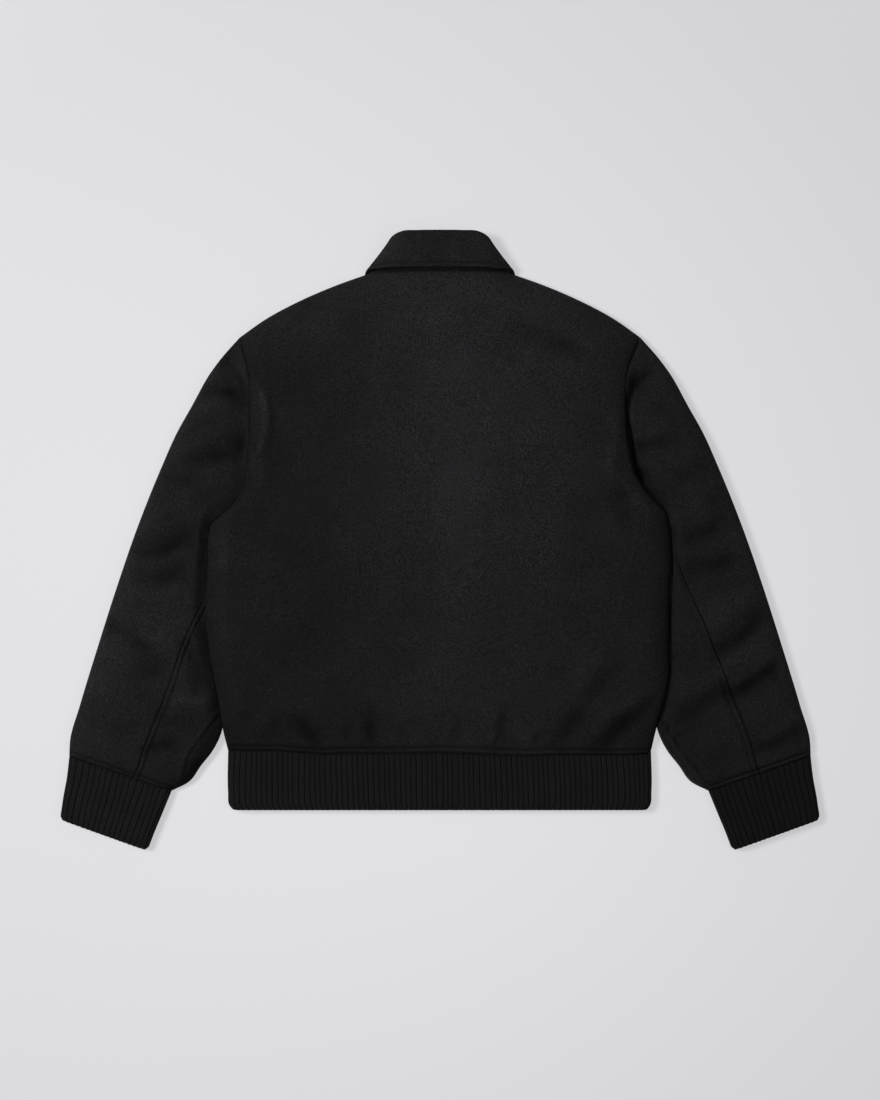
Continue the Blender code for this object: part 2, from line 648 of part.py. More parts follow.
def build_sleeve(side, material):
    upper, lower = sleeve_layer(side, True), sleeve_layer(side, False)
    rows = np.minimum(sleeve_rows(), 1 - GAP / 2 / SLEEVE_LONG)
    late = rows > UNDERARM_AT
    seam = np.where(late, seam_across(side, rows), 1.0)
    patch = sleeve_patch(side)
    width = np.linalg.norm(patch(0 * rows, rows) - patch(0 * rows + 1, rows), axis=-1)
    apart = seam_apart(patch, seam, rows)
    inner_out = outward(lambda t: patch(np.ones_like(t), t), rows, 1)
    share_at_hole = ARMHOLE_TURN * (1 - rows / UNDERARM_AT)
    turn = np.array((flipped(side), 1, 1))

    # The under sleeve: from the hind-arm seam to the inner fold.
    share = np.array((0.0, 0.3, 0.6, 0.85, 1.0))
    a = (seam + apart)[late, None]
    s = a + (1 - a) * share
    r = np.broadcast_to(rows[late, None], s.shape)
    outer = upper(s, r)
    facing = normals(upper, s, r, 1)
    facing[:, -1] = inner_out[late]
    outer[:, -1, 2] += GAP / 2
    sheet("under_sleeve_" + side, outer * turn, (outer - CLOTH * facing) * turn, material)

    # The top sleeve: from the hind-arm seam round the outer fold and across below to the inner fold.
    at_hole = (1 - np.array(ARMHOLE_AT[5:])) / (1 - ARMHOLE_TURN)
    b = np.where(late, seam - apart, 1.0)[:, None]
    s_up = b * at_hole
    r_up = np.broadcast_to(rows[:, None], s_up.shape)
    corner = edge_steps(SIDE_Z, 4)[1:]
    from_outer = np.broadcast_to(at_hole[-2:-9:-1][[0, 1, 2, 4, 6]], (len(rows), 5))
    s_low = np.concatenate([from_outer, 1 - corner[::-1] / width[:, None], np.ones((len(rows), 1))], axis=1)
    r_low = np.broadcast_to(rows[:, None], s_low.shape)
    above, below = upper(s_up, r_up), lower(s_low, r_low)
    up_facing, low_facing = normals(upper, s_up, r_up, 1), normals(lower, s_low, r_low, -1)
    up_facing[:, -1] = outward(lambda t: patch(np.zeros_like(t), t), rows, -1)
    hole_up = armhole_facing("right", share_at_hole, True, True)
    hole_low = armhole_facing("right", share_at_hole, True, False)
    up_facing[:, 0] = np.where(late[:, None], up_facing[:, 0], hole_up)
    low_facing[:, -1] = np.where(late[:, None], inner_out, hole_low)
    up_facing[0] = armhole_facing("right", 1 - s_up[0] * (1 - ARMHOLE_TURN), True, True)
    low_facing[0] = armhole_facing("right", 1 - s_low[0] * (1 - ARMHOLE_TURN), True, False)
    below[:, -1, 2] -= GAP / 2 * (below[:, -1, 2] > 2)
    above[:, 0, 2] += GAP / 2 * ~late
    outer = np.concatenate([above, below], axis=1)
    facing = np.concatenate([up_facing, low_facing], axis=1)
    sheet("top_sleeve_" + side, outer * turn, (outer - CLOTH * facing) * turn, material)


# The rib knit


def ribbed_top(width, height, rib_count):
    """The ribbed upper half of a flattened tube, from fold to fold, as (along, z)."""
    middle = height / 2
    across = width * (1 - np.cos(np.pi * np.linspace(0, 1, 1201))) / 2
    z = middle + (height - middle) * dome(across / 14) * dome((width - across) / 14)
    length = np.r_[0, np.cumsum(np.hypot(np.diff(across), np.diff(z)))]
    phase = (np.arange(rib_count)[:, None] + np.array((0.0, 0.3, 0.7))).ravel() / rib_count
    valley = np.tile((1.0, 0.0, 0.0), rib_count)
    x, z = np.interp(phase * length[-1], length, across), np.interp(phase * length[-1], length, z)
    slope = np.gradient(z, x)
    facing = unit(np.stack([-slope, np.ones_like(slope)], axis=-1))
    return x - RIB_DEPTH * valley * facing[:, 0], z - RIB_DEPTH * valley * facing[:, 1]


def plain_half(width, height, inset, count, up):
    """One plain half of the tube's inside, or with no inset its underside, from fold to fold."""
    middle = height / 2
    half = middle - inset
    arc = np.linspace(0, np.pi / 2, 4)
    left = inset + half * (1.6 if inset and up else 1.0) * (1 - np.cos(arc))
    x = np.r_[left, np.linspace(left[-1], width - left[-1], count + 2)[1:-1], width - left[::-1]]
    rise = half * np.r_[np.sin(arc), np.ones(count), np.sin(arc[::-1])]
    return x, middle + rise * (1 if up else -1)


def ring(width, height, rib_count, low_count, inside, lap):
    """One ring of the tube as (along, z). With a lap it starts and ends at the centre front, below."""
    if inside:
        height = height - 0.6
        up_x, up_z = (half[:-1] for half in plain_half(width, height, KNIT, max(rib_count // 4, 3), True))
    else:
        up_x, up_z = ribbed_top(width, height, rib_count)
    low = plain_half(width, height, KNIT if inside else 0.0, low_count, False)
    low_x, low_z = (half[::-1] for half in low)
    if not lap:
        return np.r_[up_x, low_x[:-1]], np.r_[up_z, low_z[:-1]]
    centre, floor = width / 2, low_z.min()
    left, right = low_x < centre - 40, low_x > centre + 40
    step = np.array((32.0, 25.0, 19.0, 0.0, -LAP))
    lifted = floor + LAP_LIFT * smooth((32 - step) / 13)
    along = np.r_[centre + LAP, centre - LAP, low_x[left][:-1], up_x, low_x[right], centre + step]
    return along, np.r_[floor, floor, low_z[left][:-1], up_z, low_z[right], lifted]


def build_rib(name, first, last, heights, rib_count, low_count, rows, inner_rows, turn, material, lap=False):
    """A ribbed tube between two curves, first and last, each a function of the share from seam to end."""
    walls = []
    for inside, shares in ((False, rows), (True, inner_rows)):
        rings = []
        for share, height in zip(shares, np.interp(shares, (0, 0.9, 1), heights)):
            a, b = first(share), last(share)
            width = np.linalg.norm(b - a)
            along, z = ring(width, height, rib_count, low_count, inside, lap)
            rings.append(np.c_[a + (b - a) * (along / width)[:, None], z])
        walls.append(np.array(rings) * np.array(turn))
    return wall(name, walls[0], walls[1], material, closed=not lap)


def build_hem(material):
    start = HEM_Y - GAP / 2
    left = spline(((-254, start), (-254, -300), (-252.5, -316), (-248, HEM_END_Y)))
    right = spline(((253, start), (253.5, -300), (252, -316), (248, HEM_END_Y)))
    heights, rows, turn = (12.4, 13.6, 12.6), (0.0, 0.5, 0.94, 1.0), (1, 1, 1)
    return build_rib("hem_rib", left, right, heights, HEM_RIBS, 14, rows, (0, 1), turn, material, lap=True)


def build_cuff(side, material):
    outer, inner = spline(CUFF_OUTER), spline(CUFF_INNER)
    step = GAP / 2 / 78
    first = lambda t: outer(step + t * (1 - step))
    last = lambda t: inner(step + t * (1 - step))
    heights, rows, inner_rows = (12.4, 13.2, 12.4), (0.0, 0.33, 0.66, 0.95, 1.0), (0, 0.33, 0.66, 1)
    turn = (flipped(side), 1, 1)
    return build_rib("cuff_" + side, first, last, heights, CUFF_RIBS, 6, rows, inner_rows, turn, material)


# The collar


def collar_sections(shares, steps):
    """Middle of the collar's wall and the way out of it, by the share of the way round and the step up."""
    table = np.array(COLLAR_LINES, float)
    value = spline_table(table[:, 0], table[:, 1:])(abs(shares))
    front = front_neck()
    neck = joined(spline(NECK_BACK[::-1]), lambda t: front(t / 0.97 * 0.88))(abs(shares))
    seam = np.concatenate([neck, value[:, :1]], axis=1)
    fold, edge, out = value[:, 1:4], value[:, 4:7], unit(value[:, 7:10])
    half_loop = COLLAR / 2 + 0.4
    stand = fold - seam
    along = stand - (stand * out).sum(axis=-1, keepdims=True) * out
    along = unit(along)
    seam = seam + 1.0 * along
    middle, facing = [], []
    for step in steps:
        if step <= 1:
            middle.append(seam + (fold - half_loop * out - seam) * step)
            facing.append(-out)
        elif step < 2:
            turn = (step - 1) * np.pi
            ray = np.sin(turn) * along - np.cos(turn) * out
            middle.append(fold + half_loop * ray)
            facing.append(ray)
        else:
            middle.append(fold + half_loop * out + (edge - fold - half_loop * out) * (step - 2))
            facing.append(out)
    middle, facing = np.stack(middle, axis=1), np.stack(facing, axis=1)
    mirror = np.where(shares < 0, -1.0, 1.0)[:, None]
    middle[..., 0] *= mirror
    facing[..., 0] *= mirror
    return middle, facing


def spline_table(at, values):
    slope = np.gradient(values, at, axis=0)

    def curve(t):
        i = np.clip(np.searchsorted(at, t, "right") - 1, 0, len(at) - 2)
        h = (at[i + 1] - at[i])[..., None]
        f = (t[..., None] - at[i][..., None]) / h
        return (
            (1 + 2 * f) * (1 - f) ** 2 * values[i]
            + f * (1 - f) ** 2 * h * slope[i]
            + f * f * (3 - 2 * f) * values[i + 1]
            - f * f * (1 - f) * h * slope[i + 1]
        )

    return curve


def build_collar(material):
    half = np.r_[0, 0.09, 0.17, 0.25, 0.33, 0.39, 0.44, 0.48, 0.52, 0.56, 0.6, 0.66, 0.76, 0.87, 0.985]
    shares = np.r_[-half[:0:-1], half]
    steps = np.array((0, 0.5, 1, 1.25, 1.5, 1.75, 2, 2.3, 2.65, 2.9, 3.0))
    middle, facing = collar_sections(shares, steps)
    thick = np.full(len(steps), COLLAR / 2)[None, :, None]
    return sheet("collar", middle + thick * facing, middle - thick * facing, material)


def main():
    for obj in list(bpy.data.objects):
        bpy.data.objects.remove(obj)
    wool = cloth("wool", (0.014, 0.0145, 0.016), 0.9)
    knit = cloth("rib_knit", (0.011, 0.011, 0.0115), 0.92)
    build_back(wool)
    for side in ("left", "right"):
        build_front(side, wool)
        build_sleeve(side, wool)
        build_cuff(side, knit)
    build_collar(wool)
    build_hem(knit)


main()
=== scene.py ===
"""Looks of a collared wool bomber jacket that lies flat on its front, its back towards +Z.

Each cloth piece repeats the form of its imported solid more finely, and adds the smaller creases, the
sewing, the knit and the nap. Lengths are in millimetres until a mesh is made, and in metres in the
materials and the studio. x runs outward where a table or a function is for one side. "left" is the
wearer's left, at -x.
"""

import bpy
import numpy as np
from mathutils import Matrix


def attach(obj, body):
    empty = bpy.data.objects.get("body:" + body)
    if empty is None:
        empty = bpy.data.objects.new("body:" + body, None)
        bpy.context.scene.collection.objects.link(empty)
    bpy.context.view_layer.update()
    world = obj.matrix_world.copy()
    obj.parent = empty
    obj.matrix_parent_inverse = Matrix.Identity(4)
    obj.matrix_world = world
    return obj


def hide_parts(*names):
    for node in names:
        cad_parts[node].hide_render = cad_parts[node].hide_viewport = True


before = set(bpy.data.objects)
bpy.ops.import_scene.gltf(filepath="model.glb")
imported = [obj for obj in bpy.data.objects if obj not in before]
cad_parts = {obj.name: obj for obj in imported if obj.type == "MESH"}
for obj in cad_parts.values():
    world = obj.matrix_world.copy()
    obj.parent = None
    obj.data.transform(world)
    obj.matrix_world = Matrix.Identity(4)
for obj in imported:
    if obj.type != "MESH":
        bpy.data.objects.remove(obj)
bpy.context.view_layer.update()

MM = 0.001
GAP = 0.3  # between two pieces at a seam
CLOTH = 2.6  # wall of the wool
KNIT = 3.0  # wall of the rib knit
COLLAR = 3.0  # wall of the collar
LAP = 15.0  # each front reaches this far past the centre
LAP_LIFT = 3.3  # the right front rides this much over the left one
WING_LIFT = 4.0  # both fronts ride this much over the collar
STITCH = 6.5  # from a rib seam to its topstitching
SEAM_STITCH = 6.3  # from the hind-arm seam to its topstitching
COLLAR_STITCH = 5.2  # from the collar's edge to its topstitching

HEM_Y = -250.0  # the hem seam
HEM_END_Y = -322.0
HEM_LONG = 72.0
HEM_WIDE = 505.0  # the hem rib as it lies
HEM_RIBS = 81  # ribs on its upper side
CUFF_LONG = 78.0
CUFF_RIBS = 18
RIB = 6.2  # from rib to rib
RIB_DEPTH = 1.2
PER_RIB = 10  # points across one rib
FINE = 2.4  # between the points of the wool
FOLD_SHADE = 0.05  # painted shade: how much darker the colour is made for each millimetre down into a fold
CREASE_SHADE = 0.10  # the same painted shade for the small creases
CENTRE_LONG = 590.0  # the back from its hem seam to the neck
BODY_LONG = 540.0  # the same beside the shoulders
BODY_HALF = 262.0  # half of the body's usual width
FRONT_WIDE = 270.0
SLEEVE_LONG = 410.0  # without the cuff
SLEEVE_WIDE = 170.0  # where it is widest
SLEEVE_MEAN = 150.0  # its usual width
COLLAR_END = 0.985  # share of the way from the centre back to the centre front at which it ends
COLLAR_ROUND = 420.0  # length of that way
STITCH_PITCH = 3.5
STITCH_LONG = 2.5
THREAD = 0.55  # its thickness

SHOULDER = (239.0, 244.0)
NECK_SIDE = (86.0, 319.5)
SHOULDER_LINE = (SHOULDER, (210.0, 264.5), (165.0, 288.5), (120.0, 307.5), NECK_SIDE)  # x, y
NECK_BACK = ((86.0, 319.5), (60.0, 331.0), (30.0, 337.0), (0.0, 339.0))  # x, y
NECK_FRONT = ((86.0, 319.5), (72.0, 283.0), (45.0, 258.0), (18.0, 247.0), (0.0, 245.0))  # x, y

# Body side from the hem seam to the underarm: x, y.
SIDE = {
    "left": (
        (254, -250), (260, -224), (265, -191), (272, -155), (278, -119), (280, -71), (278, -30), (278, 1),
    ),
    "right": (
        (253, -250), (259, -224), (266, -203), (274, -167), (275, -119), (276, -59), (278, -23), (276, 13),
    ),
}
# Armhole seam from the underarm to the shoulder: x, y.
ARMHOLE = {
    "left": (
        (278, 1), (273, 20), (262, 31), (248, 43), (236, 61), (230, 97), (227, 145), (228, 199), (239, 244),
    ),
    "right": (
        (276, 13), (269, 35), (257, 47), (246, 59), (233, 79), (225, 110), (221, 155), (224, 205), (239, 244),
    ),
}
# Outer fold of the sleeve from the shoulder to the cuff seam: x, y.
OUTER = (
    (239, 244), (263, 217), (276, 199), (296, 163), (316, 127), (332, 91), (347, 55), (361, 19),
    (386, -53), (409, -125), (431, -197), (443, -240), (444, -257),
)
# Inner fold of the sleeve where it is clear of the body: x, y.
INNER_END = ((264, -236), (272, -251), (286, -269), (299, -287), (321, -299))
CUFF_OUTER = ((444, -257), (447, -283), (451.5, -308), (454, -325), (455.5, -333))  # x, y
CUFF_INNER = ((321, -299), (328, -316), (335, -333), (342.3, -350.5), (350, -370.8))  # x, y
# Hind-arm seam from the armhole to the cuff seam: x, y.
HIND_SEAM = {
    "left": (
        (278, -20), (281, -67), (294, -95), (312, -137), (322, -169), (336, -203), (350, -239), (366, -283),
    ),
    "right": (
        (276, 5), (283, -22), (292, -47), (310, -86), (332, -140), (348, -181), (368, -233), (382, -278),
    ),
}

# The largest folds: from x, y to x, y, width, depth. A depth below zero is a ridge.
BACK_FOLDS = {
    "left": (
        (208, 169, 212, 73, 9, -2.5),
        (140, 264, 120, 240, 22, -2.0),
        (166, -215, 146, -234, 12, 2.5),
        (79, -240, 82, -200, 12, 2.0),
    ),
    "right": (
        (96, 251, 167, 226, 15, 3.5),
        (120, 226, 168, 206, 13, -2.0),
        (142, -240, 166, -208, 11, 3.0),
        (184, -246, 221, -215, 11, 3.0),
        (221, -215, 252, -194, 11, 2.5),
        (73, -238, 79, -202, 11, 2.0),
    ),
}
SLEEVE_FOLDS = {
    "left": (
        (257, 217, 232, 163, 11, 3.5),
        (272, 180, 239, 175, 10, 2.5),
        (288, 95, 239, 120, 13, 3.5),
        (323, 74, 289, 64, 13, 2.5),
        (355, -12, 301, 4, 14, 4.0),
        (355, -48, 310, -37, 12, 3.0),
        (392, -103, 337, -152, 15, 5.5),
        (375, -120, 330, -120, 16, -2.5),
        (355, -179, 330, -196, 16, 2.5),
        (301, -125, 288, -181, 9, 3.5),
        (319, -192, 275, -192, 11, -2.5),
        (346, -248, 319, -244, 11, 3.0),
    ),
    "right": (
        (227, 168, 234, 187, 12, 5.0),
        (234, 187, 254, 203, 12, 3.0),
        (224, 133, 238, 80, 10, 5.5),
        (238, 80, 262, 40, 10, 5.0),
        (245, 113, 281, 120, 12, 3.5),
        (292, 74, 318, 86, 13, 2.5),
        (306, 4, 341, 25, 14, 3.5),
        (299, -37, 343, -24, 14, 4.0),
        (337, -125, 386, -89, 14, 5.5),
        (330, -95, 372, -66, 15, -2.5),
        (353, -181, 399, -157, 14, 5.5),
        (350, -145, 395, -122, 14, -2.5),
        (382, -251, 436, -230, 12, 4.0),
        (290, -199, 340, -181, 11, 4.0),
        (295, -178, 335, -160, 11, -2.5),
    ),
}

# The collar from the centre back round to the centre front: share of the way, height of its seam,
# then its fold (x, y, z), its edge (x, y, z) and which way is out (x, y, z).
COLLAR_LINES = (
    (0.000, 15.9, 0, 367.4, 22.0, 0, 326.4, 26.6, 0.00, 0.10, 1.00),
    (0.170, 15.6, 26, 367.2, 21.8, 32, 326.2, 26.0, 0.00, 0.15, 1.00),
    (0.340, 12.7, 47.5, 366.0, 19.5, 59, 325.6, 23.5, 0.20, 0.25, 1.00),
    (0.430, 9.5, 56, 361.5, 15.5, 75, 324.6, 19.0, 0.50, 0.35, 0.75),
    (0.500, 7.5, 60, 354.0, 11.5, 85.5, 323.7, 12.5, 0.80, 0.55, 0.25),
    (0.540, 6.6, 61.5, 349.0, 9.0, 88.5, 320.9, 7.0, 0.75, 0.50, -0.40),
    (0.580, 6.0, 63, 342.0, 6.2, 91.0, 314.5, 2.4, 0.35, 0.20, -0.90),
    (0.640, 5.5, 64, 330.0, 4.2, 92, 298.0, 1.8, 0.00, 0.00, -1.00),
    (0.760, 5.4, 58, 303.0, 3.5, 90, 263.0, 1.6, 0.00, 0.00, -1.00),
    (0.880, 5.4, 33, 286.0, 3.5, 74, 237.0, 1.6, 0.00, 0.00, -1.00),
    (0.985, 5.4, 2, 277.0, 3.5, 48, 220.0, 1.6, 0.00, 0.00, -1.00),
)


# Creases: width, depth, the ridge beside the trough as a share of its depth, then the line's x, y, x, y
# and so on. A depth below zero is a ridge. x is the true one on the back and runs outward elsewhere.
BACK_CREASES = (
    (24, 0.55, 0.7, -45, 215, -32, -140),
    (27, 0.50, 0.8, 62, 230, 74, -120),
    (26, 0.55, 0.7, -150, 120, -165, -130),
    (24, 0.50, 0.6, 150, 90, 160, -110),
    (4.5, -1.9, 0.0, -225, 198, -210, 172, -205, 147, -210, 121, -221, 95, -231, 75),
    (4, 0.9, 0.0, -200, 165, -196, 147, -200, 118, -212, 90),
    (4, 0.6, 0.0, -214, 165, -214, 130, -220, 105),
    (9, -1.8, 0.0, 212, 158, 209, 115, 200, 70),
    (10, 2.2, 0.0, 220, 66, 218, 44, 226, 20),
    (13, -1.8, 0.0, -262, 10, -264, -42),
    (8, 1.6, 0.4, 96, 251, 130, 243, 167, 226),
    (11, 2.0, 0.6, 148, -233, 186, -176, 222, -131),
    (8, 2.2, 0.6, 184, -247, 222, -216, 254, -193),
    (5, 1.5, 0.6, 110, -240, 129, -221),
    (5, 1.3, 0.6, 73, -236, 79, -202),
    (6, 0.8, 0.6, 20, -238, 24, -212),
    (6, 0.8, 0.6, -40, -240, -44, -216),
    (6, 1.4, 0.6, -79, -242, -80, -204),
    (7, 0.8, 0.6, -112, -238, -104, -214),
    (6, 1.8, 0.6, -147, -236, -166, -214),
    (7, 1.0, 0.6, -205, -236, -190, -212),
    (7, 1.0, 0.5, -215, -196, -240, -214),
    (12, 0.9, 0.5, 196, 60, 226, 20),
    (12, 0.8, 0.5, -196, 40, -232, 12),
    (10, 0.7, 0.5, -180, 262, -150, 284),
    (14, 0.9, 0.5, -120, 240, -60, 262),
)
FRONT_CREASES = (
    (16, 0.8, 0.0, 60, -215, 72, -150),
    (12, 1.0, 0.0, 150, -225, 190, -180),
    (18, 0.9, 0.0, 205, -60, 150, -20),
    (16, 1.0, 0.0, 190, 90, 120, 140),
    (20, 0.7, 0.0, 110, 40, 95, -60),
)
SLEEVE_CREASES = {
    "left": (
        (3.6, 2.4, 0.3, 260, 217, 247, 209, 239, 194, 231, 172, 227, 153),
        (8, 1.6, 0.3, 279, 176, 258, 181, 240, 177),
        (8, 2.4, 0.3, 284, 98, 262, 100, 245, 106, 235, 120),
        (7, 2.2, 0.0, 236, 124, 239, 105, 243, 90),
        (7, 1.2, 0.5, 262, 150, 300, 128),
        (5, 1.4, 0.5, 270, 180, 255, 176, 240, 176),
        (6, 1.4, 0.5, 325, 77, 306, 72, 288, 64),
        (7, 0.8, 0.5, 255, 60, 300, 40),
        (7, 0.8, 0.5, 300, 30, 336, 22),
        (7, 2.0, 0.5, 355, -17, 328, -12, 300, 4),
        (7, 1.4, 0.5, 352, -54, 330, -50, 308, -36),
        (7, 0.8, 0.5, 330, -70, 368, -80),
        (7, 2.6, 0.6, 389, -103, 362, -118, 341, -134),
        (9, 1.2, 0.5, 382, -158, 358, -160, 334, -156),
        (7, 0.8, 0.5, 395, -190, 425, -200),
        (6, 2.0, 0.4, 297, -122, 288, -150, 282, -181),
        (8, -1.6, 0.0, 325, -196, 300, -190, 264, -188),
        (6, 0.8, 0.5, 300, -215, 330, -222),
        (7, 0.7, 0.5, 350, -222, 400, -226),
        (6, 1.6, 0.5, 346, -250, 330, -244, 316, -245),
    ),
    "right": (
        (2.4, 3.6, 0.35, 257, 202, 247, 200, 236, 188, 228, 175, 224.5, 162, 224.5, 147, 226, 130, 229.5, 112,
         232.5, 100, 237, 86, 242, 74),
        (6, 2.0, 0.0, 252, 202, 240, 195, 231, 182),
        (4, 3.0, 0.0, 226, 145, 227.5, 126, 230, 110, 233, 97),
        (7, 1.0, 0.5, 250, 160, 285, 148),
        (6, 2.2, 0.4, 232, 112, 250, 116, 274, 119),
        (5, 1.0, 0.4, 228, 153, 238, 153, 250, 150),
        (6, 1.4, 0.5, 268, 84, 286, 80, 305, 77),
        (7, 0.8, 0.5, 262, 62, 300, 50),
        (7, 0.8, 0.5, 318, 45, 340, 52),
        (6, 1.4, 0.5, 301, 2, 320, 12, 338, 24),
        (9, 1.4, 0.5, 294, -31, 330, -30, 368, -17),
        (8, 0.8, 0.5, 312, -62, 352, -52),
        (6, 2.6, 0.6, 331, -133, 358, -118, 384, -95),
        (8, 0.8, 0.5, 372, -128, 404, -112),
        (6, 2.8, 0.6, 348, -185, 374, -169, 404, -149),
        (6, 1.8, 0.5, 377, -250, 405, -240, 437, -220),
        (8, 2.4, 0.6, 276, -219, 308, -203, 340, -182),
        (6, 1.2, 0.3, 284, -231, 294, -228, 304, -221),
        (8, 0.8, 0.5, 300, -222, 335, -214),
        (8, 0.7, 0.5, 330, -262, 352, -240),
    ),
}
UNDER_CREASES = {
    "left": (
        (14, 1.0, 0.0, 270, 90, 310, 70),
        (16, 1.1, 0.0, 300, -20, 350, -36),
        (15, 1.2, 0.0, 320, -120, 380, -140),
        (14, 1.0, 0.0, 330, -210, 400, -222),
    ),
    "right": (
        (14, 1.0, 0.0, 262, 100, 306, 84),
        (16, 1.1, 0.0, 302, 0, 346, -12),
        (15, 1.2, 0.0, 316, -100, 372, -116),
        (14, 1.0, 0.0, 326, -196, 392, -204),
    ),
}
# Fore-arm seam where it shows beside the inner fold: x, y.
FORE_SEAM = {
    "left": (254, -192, 272, -217, 287, -237, 300, -255, 305, -272, 309, -290),
    "right": (320, -290, 299, -264.5, 287.5, -249, 276, -233, 266, -218, 257, -206),
}
# Painted shade along the sharp fold that curves down beside the right armhole: x, y.
CRESCENT_SHADE = (256, 202, 247, 199, 236, 188, 228, 175, 224.5, 162, 224.5, 147, 227, 126, 232, 102)
# How far the hem seam hangs below its height across the back: x, sag.
SEAM_SAG = (
    (-254, 0.5), (-200, 0.8), (-165, 3.0), (-138, 5.0), (-105, 4.2), (-50, 4.2), (0, 3.2), (36, 4.2),
    (75, 6.2), (105, 6.4), (150, 5.4), (215, 6.2), (254, 4.5),
)
ARMHOLE_TURN = 0.31  # share of the armhole that faces down the sleeve


# Small curves and steps


def smooth(t):
    t = np.clip(t, 0.0, 1.0)
    return t * t * (3 - 2 * t)


def dome(t):
    """0 at t = 0, rising upright and levelling off at t = 1."""
    return np.sqrt(1 - (1 - np.clip(t, 0.0, 1.0)) ** 2)


def bell(d, width):
    """1 where d is 0, falling away on both sides."""
    return np.exp(-((d / width) ** 2))


def swell(t, soft):
    """A dome, or a softer rise that starts level where soft is 1."""
    return dome(t) + 0.6 * soft * (smooth(1.15 * t) - dome(t))


def ease(t, knots):
    """A smooth step through the (t, value) knots."""
    at, value = np.array(knots, float).T
    t = np.clip(t, at[0], at[-1])
    i = np.clip(np.searchsorted(at, t, "right") - 1, 0, len(at) - 2)
    return value[i] + (value[i + 1] - value[i]) * smooth((t - at[i]) / (at[i + 1] - at[i]))


def through(at, values):
    """A smooth curve through the values, which it takes at the places given."""
    slope = np.gradient(values, at, axis=0)

    def curve(t):
        t = np.clip(np.asarray(t, float), at[0], at[-1])
        i = np.clip(np.searchsorted(at, t, "right") - 1, 0, len(at) - 2)
        h = (at[i + 1] - at[i])[..., None]
        f = (t[..., None] - at[i][..., None]) / h
        return (
            (1 + 2 * f) * (1 - f) ** 2 * values[i]
            + f * (1 - f) ** 2 * h * slope[i]
            + f * f * (3 - 2 * f) * values[i + 1]
            - f * f * (1 - f) * h * slope[i + 1]
        )

    return curve


def lengths(points):
    """How far along the line of points each one is."""
    return np.r_[0, np.cumsum(np.linalg.norm(np.diff(points, axis=0), axis=1))]


def spline(points):
    """A smooth curve through the points, as a function of the share of its length."""
    points = np.array(points, float)
    at = lengths(points)
    return through(at / at[-1], points)


def joined(first, second, knot=0.5):
    """Two curves as one, the second starting at the knot."""

    def curve(t):
        t = np.asarray(t, float)
        late = (t > knot)[..., None]
        return np.where(late, second((t - knot) / (1 - knot)), first(t / knot))

    return curve


def shifted(curve, by):
    """The curve moved sideways, to the right of its direction."""

    def moved(t):
        t = np.clip(np.asarray(t, float), 0, 1)
        step = curve(np.minimum(t + 1e-3, 1)) - curve(np.maximum(t - 1e-3, 0))
        step /= np.linalg.norm(step, axis=-1, keepdims=True)
        return curve(t) + by * np.stack([step[..., 1], -step[..., 0]], axis=-1)

    return moved


def mirrored(curve):
    return lambda t: curve(t) * (-1, 1)


def coons(bottom, top, first, last):
    """The patch across four curves: bottom and top run with s, first and last with r."""
    corner = [edge(end) for edge in (bottom, top) for end in (0.0, 1.0)]

    def patch(s, r):
        s, r = s[..., None], r[..., None]
        across = (1 - r) * bottom(s[..., 0]) + r * top(s[..., 0])
        along = (1 - s) * first(r[..., 0]) + s * last(r[..., 0])
        low = (1 - s) * corner[0] + s * corner[1]
        high = (1 - s) * corner[2] + s * corner[3]
        return across + along - (1 - r) * low - r * high

    return patch


def folds(x, y, table):
    """How far the folds push the cloth down at x, y."""
    down = np.zeros_like(x)
    for x0, y0, x1, y1, width, depth in table:
        t = np.clip(((x - x0) * (x1 - x0) + (y - y0) * (y1 - y0)) / ((x1 - x0) ** 2 + (y1 - y0) ** 2), 0, 1)
        away = np.hypot(x - x0 - t * (x1 - x0), y - y0 - t * (y1 - y0))
        down += depth * bell(away, width)
    return down


def wander(x, y, cell, seed):
    """Soft random relief from -1 to 1, its bumps about a cell across."""
    rng = np.random.default_rng(seed)
    lattice = rng.uniform(-1, 1, (128, 128))
    u, v = x / cell + 60.3, y / cell + 60.7
    i, j = np.floor(u).astype(int), np.floor(v).astype(int)
    fu, fv = u - i, v - j
    fu, fv = fu * fu * (3 - 2 * fu), fv * fv * (3 - 2 * fv)
    at = lambda a, b: lattice[(i + a) % 128, (j + b) % 128]
    low = at(0, 0) * (1 - fu) + at(1, 0) * fu
    high = at(0, 1) * (1 - fu) + at(1, 1) * fu
    return low * (1 - fv) + high * fv


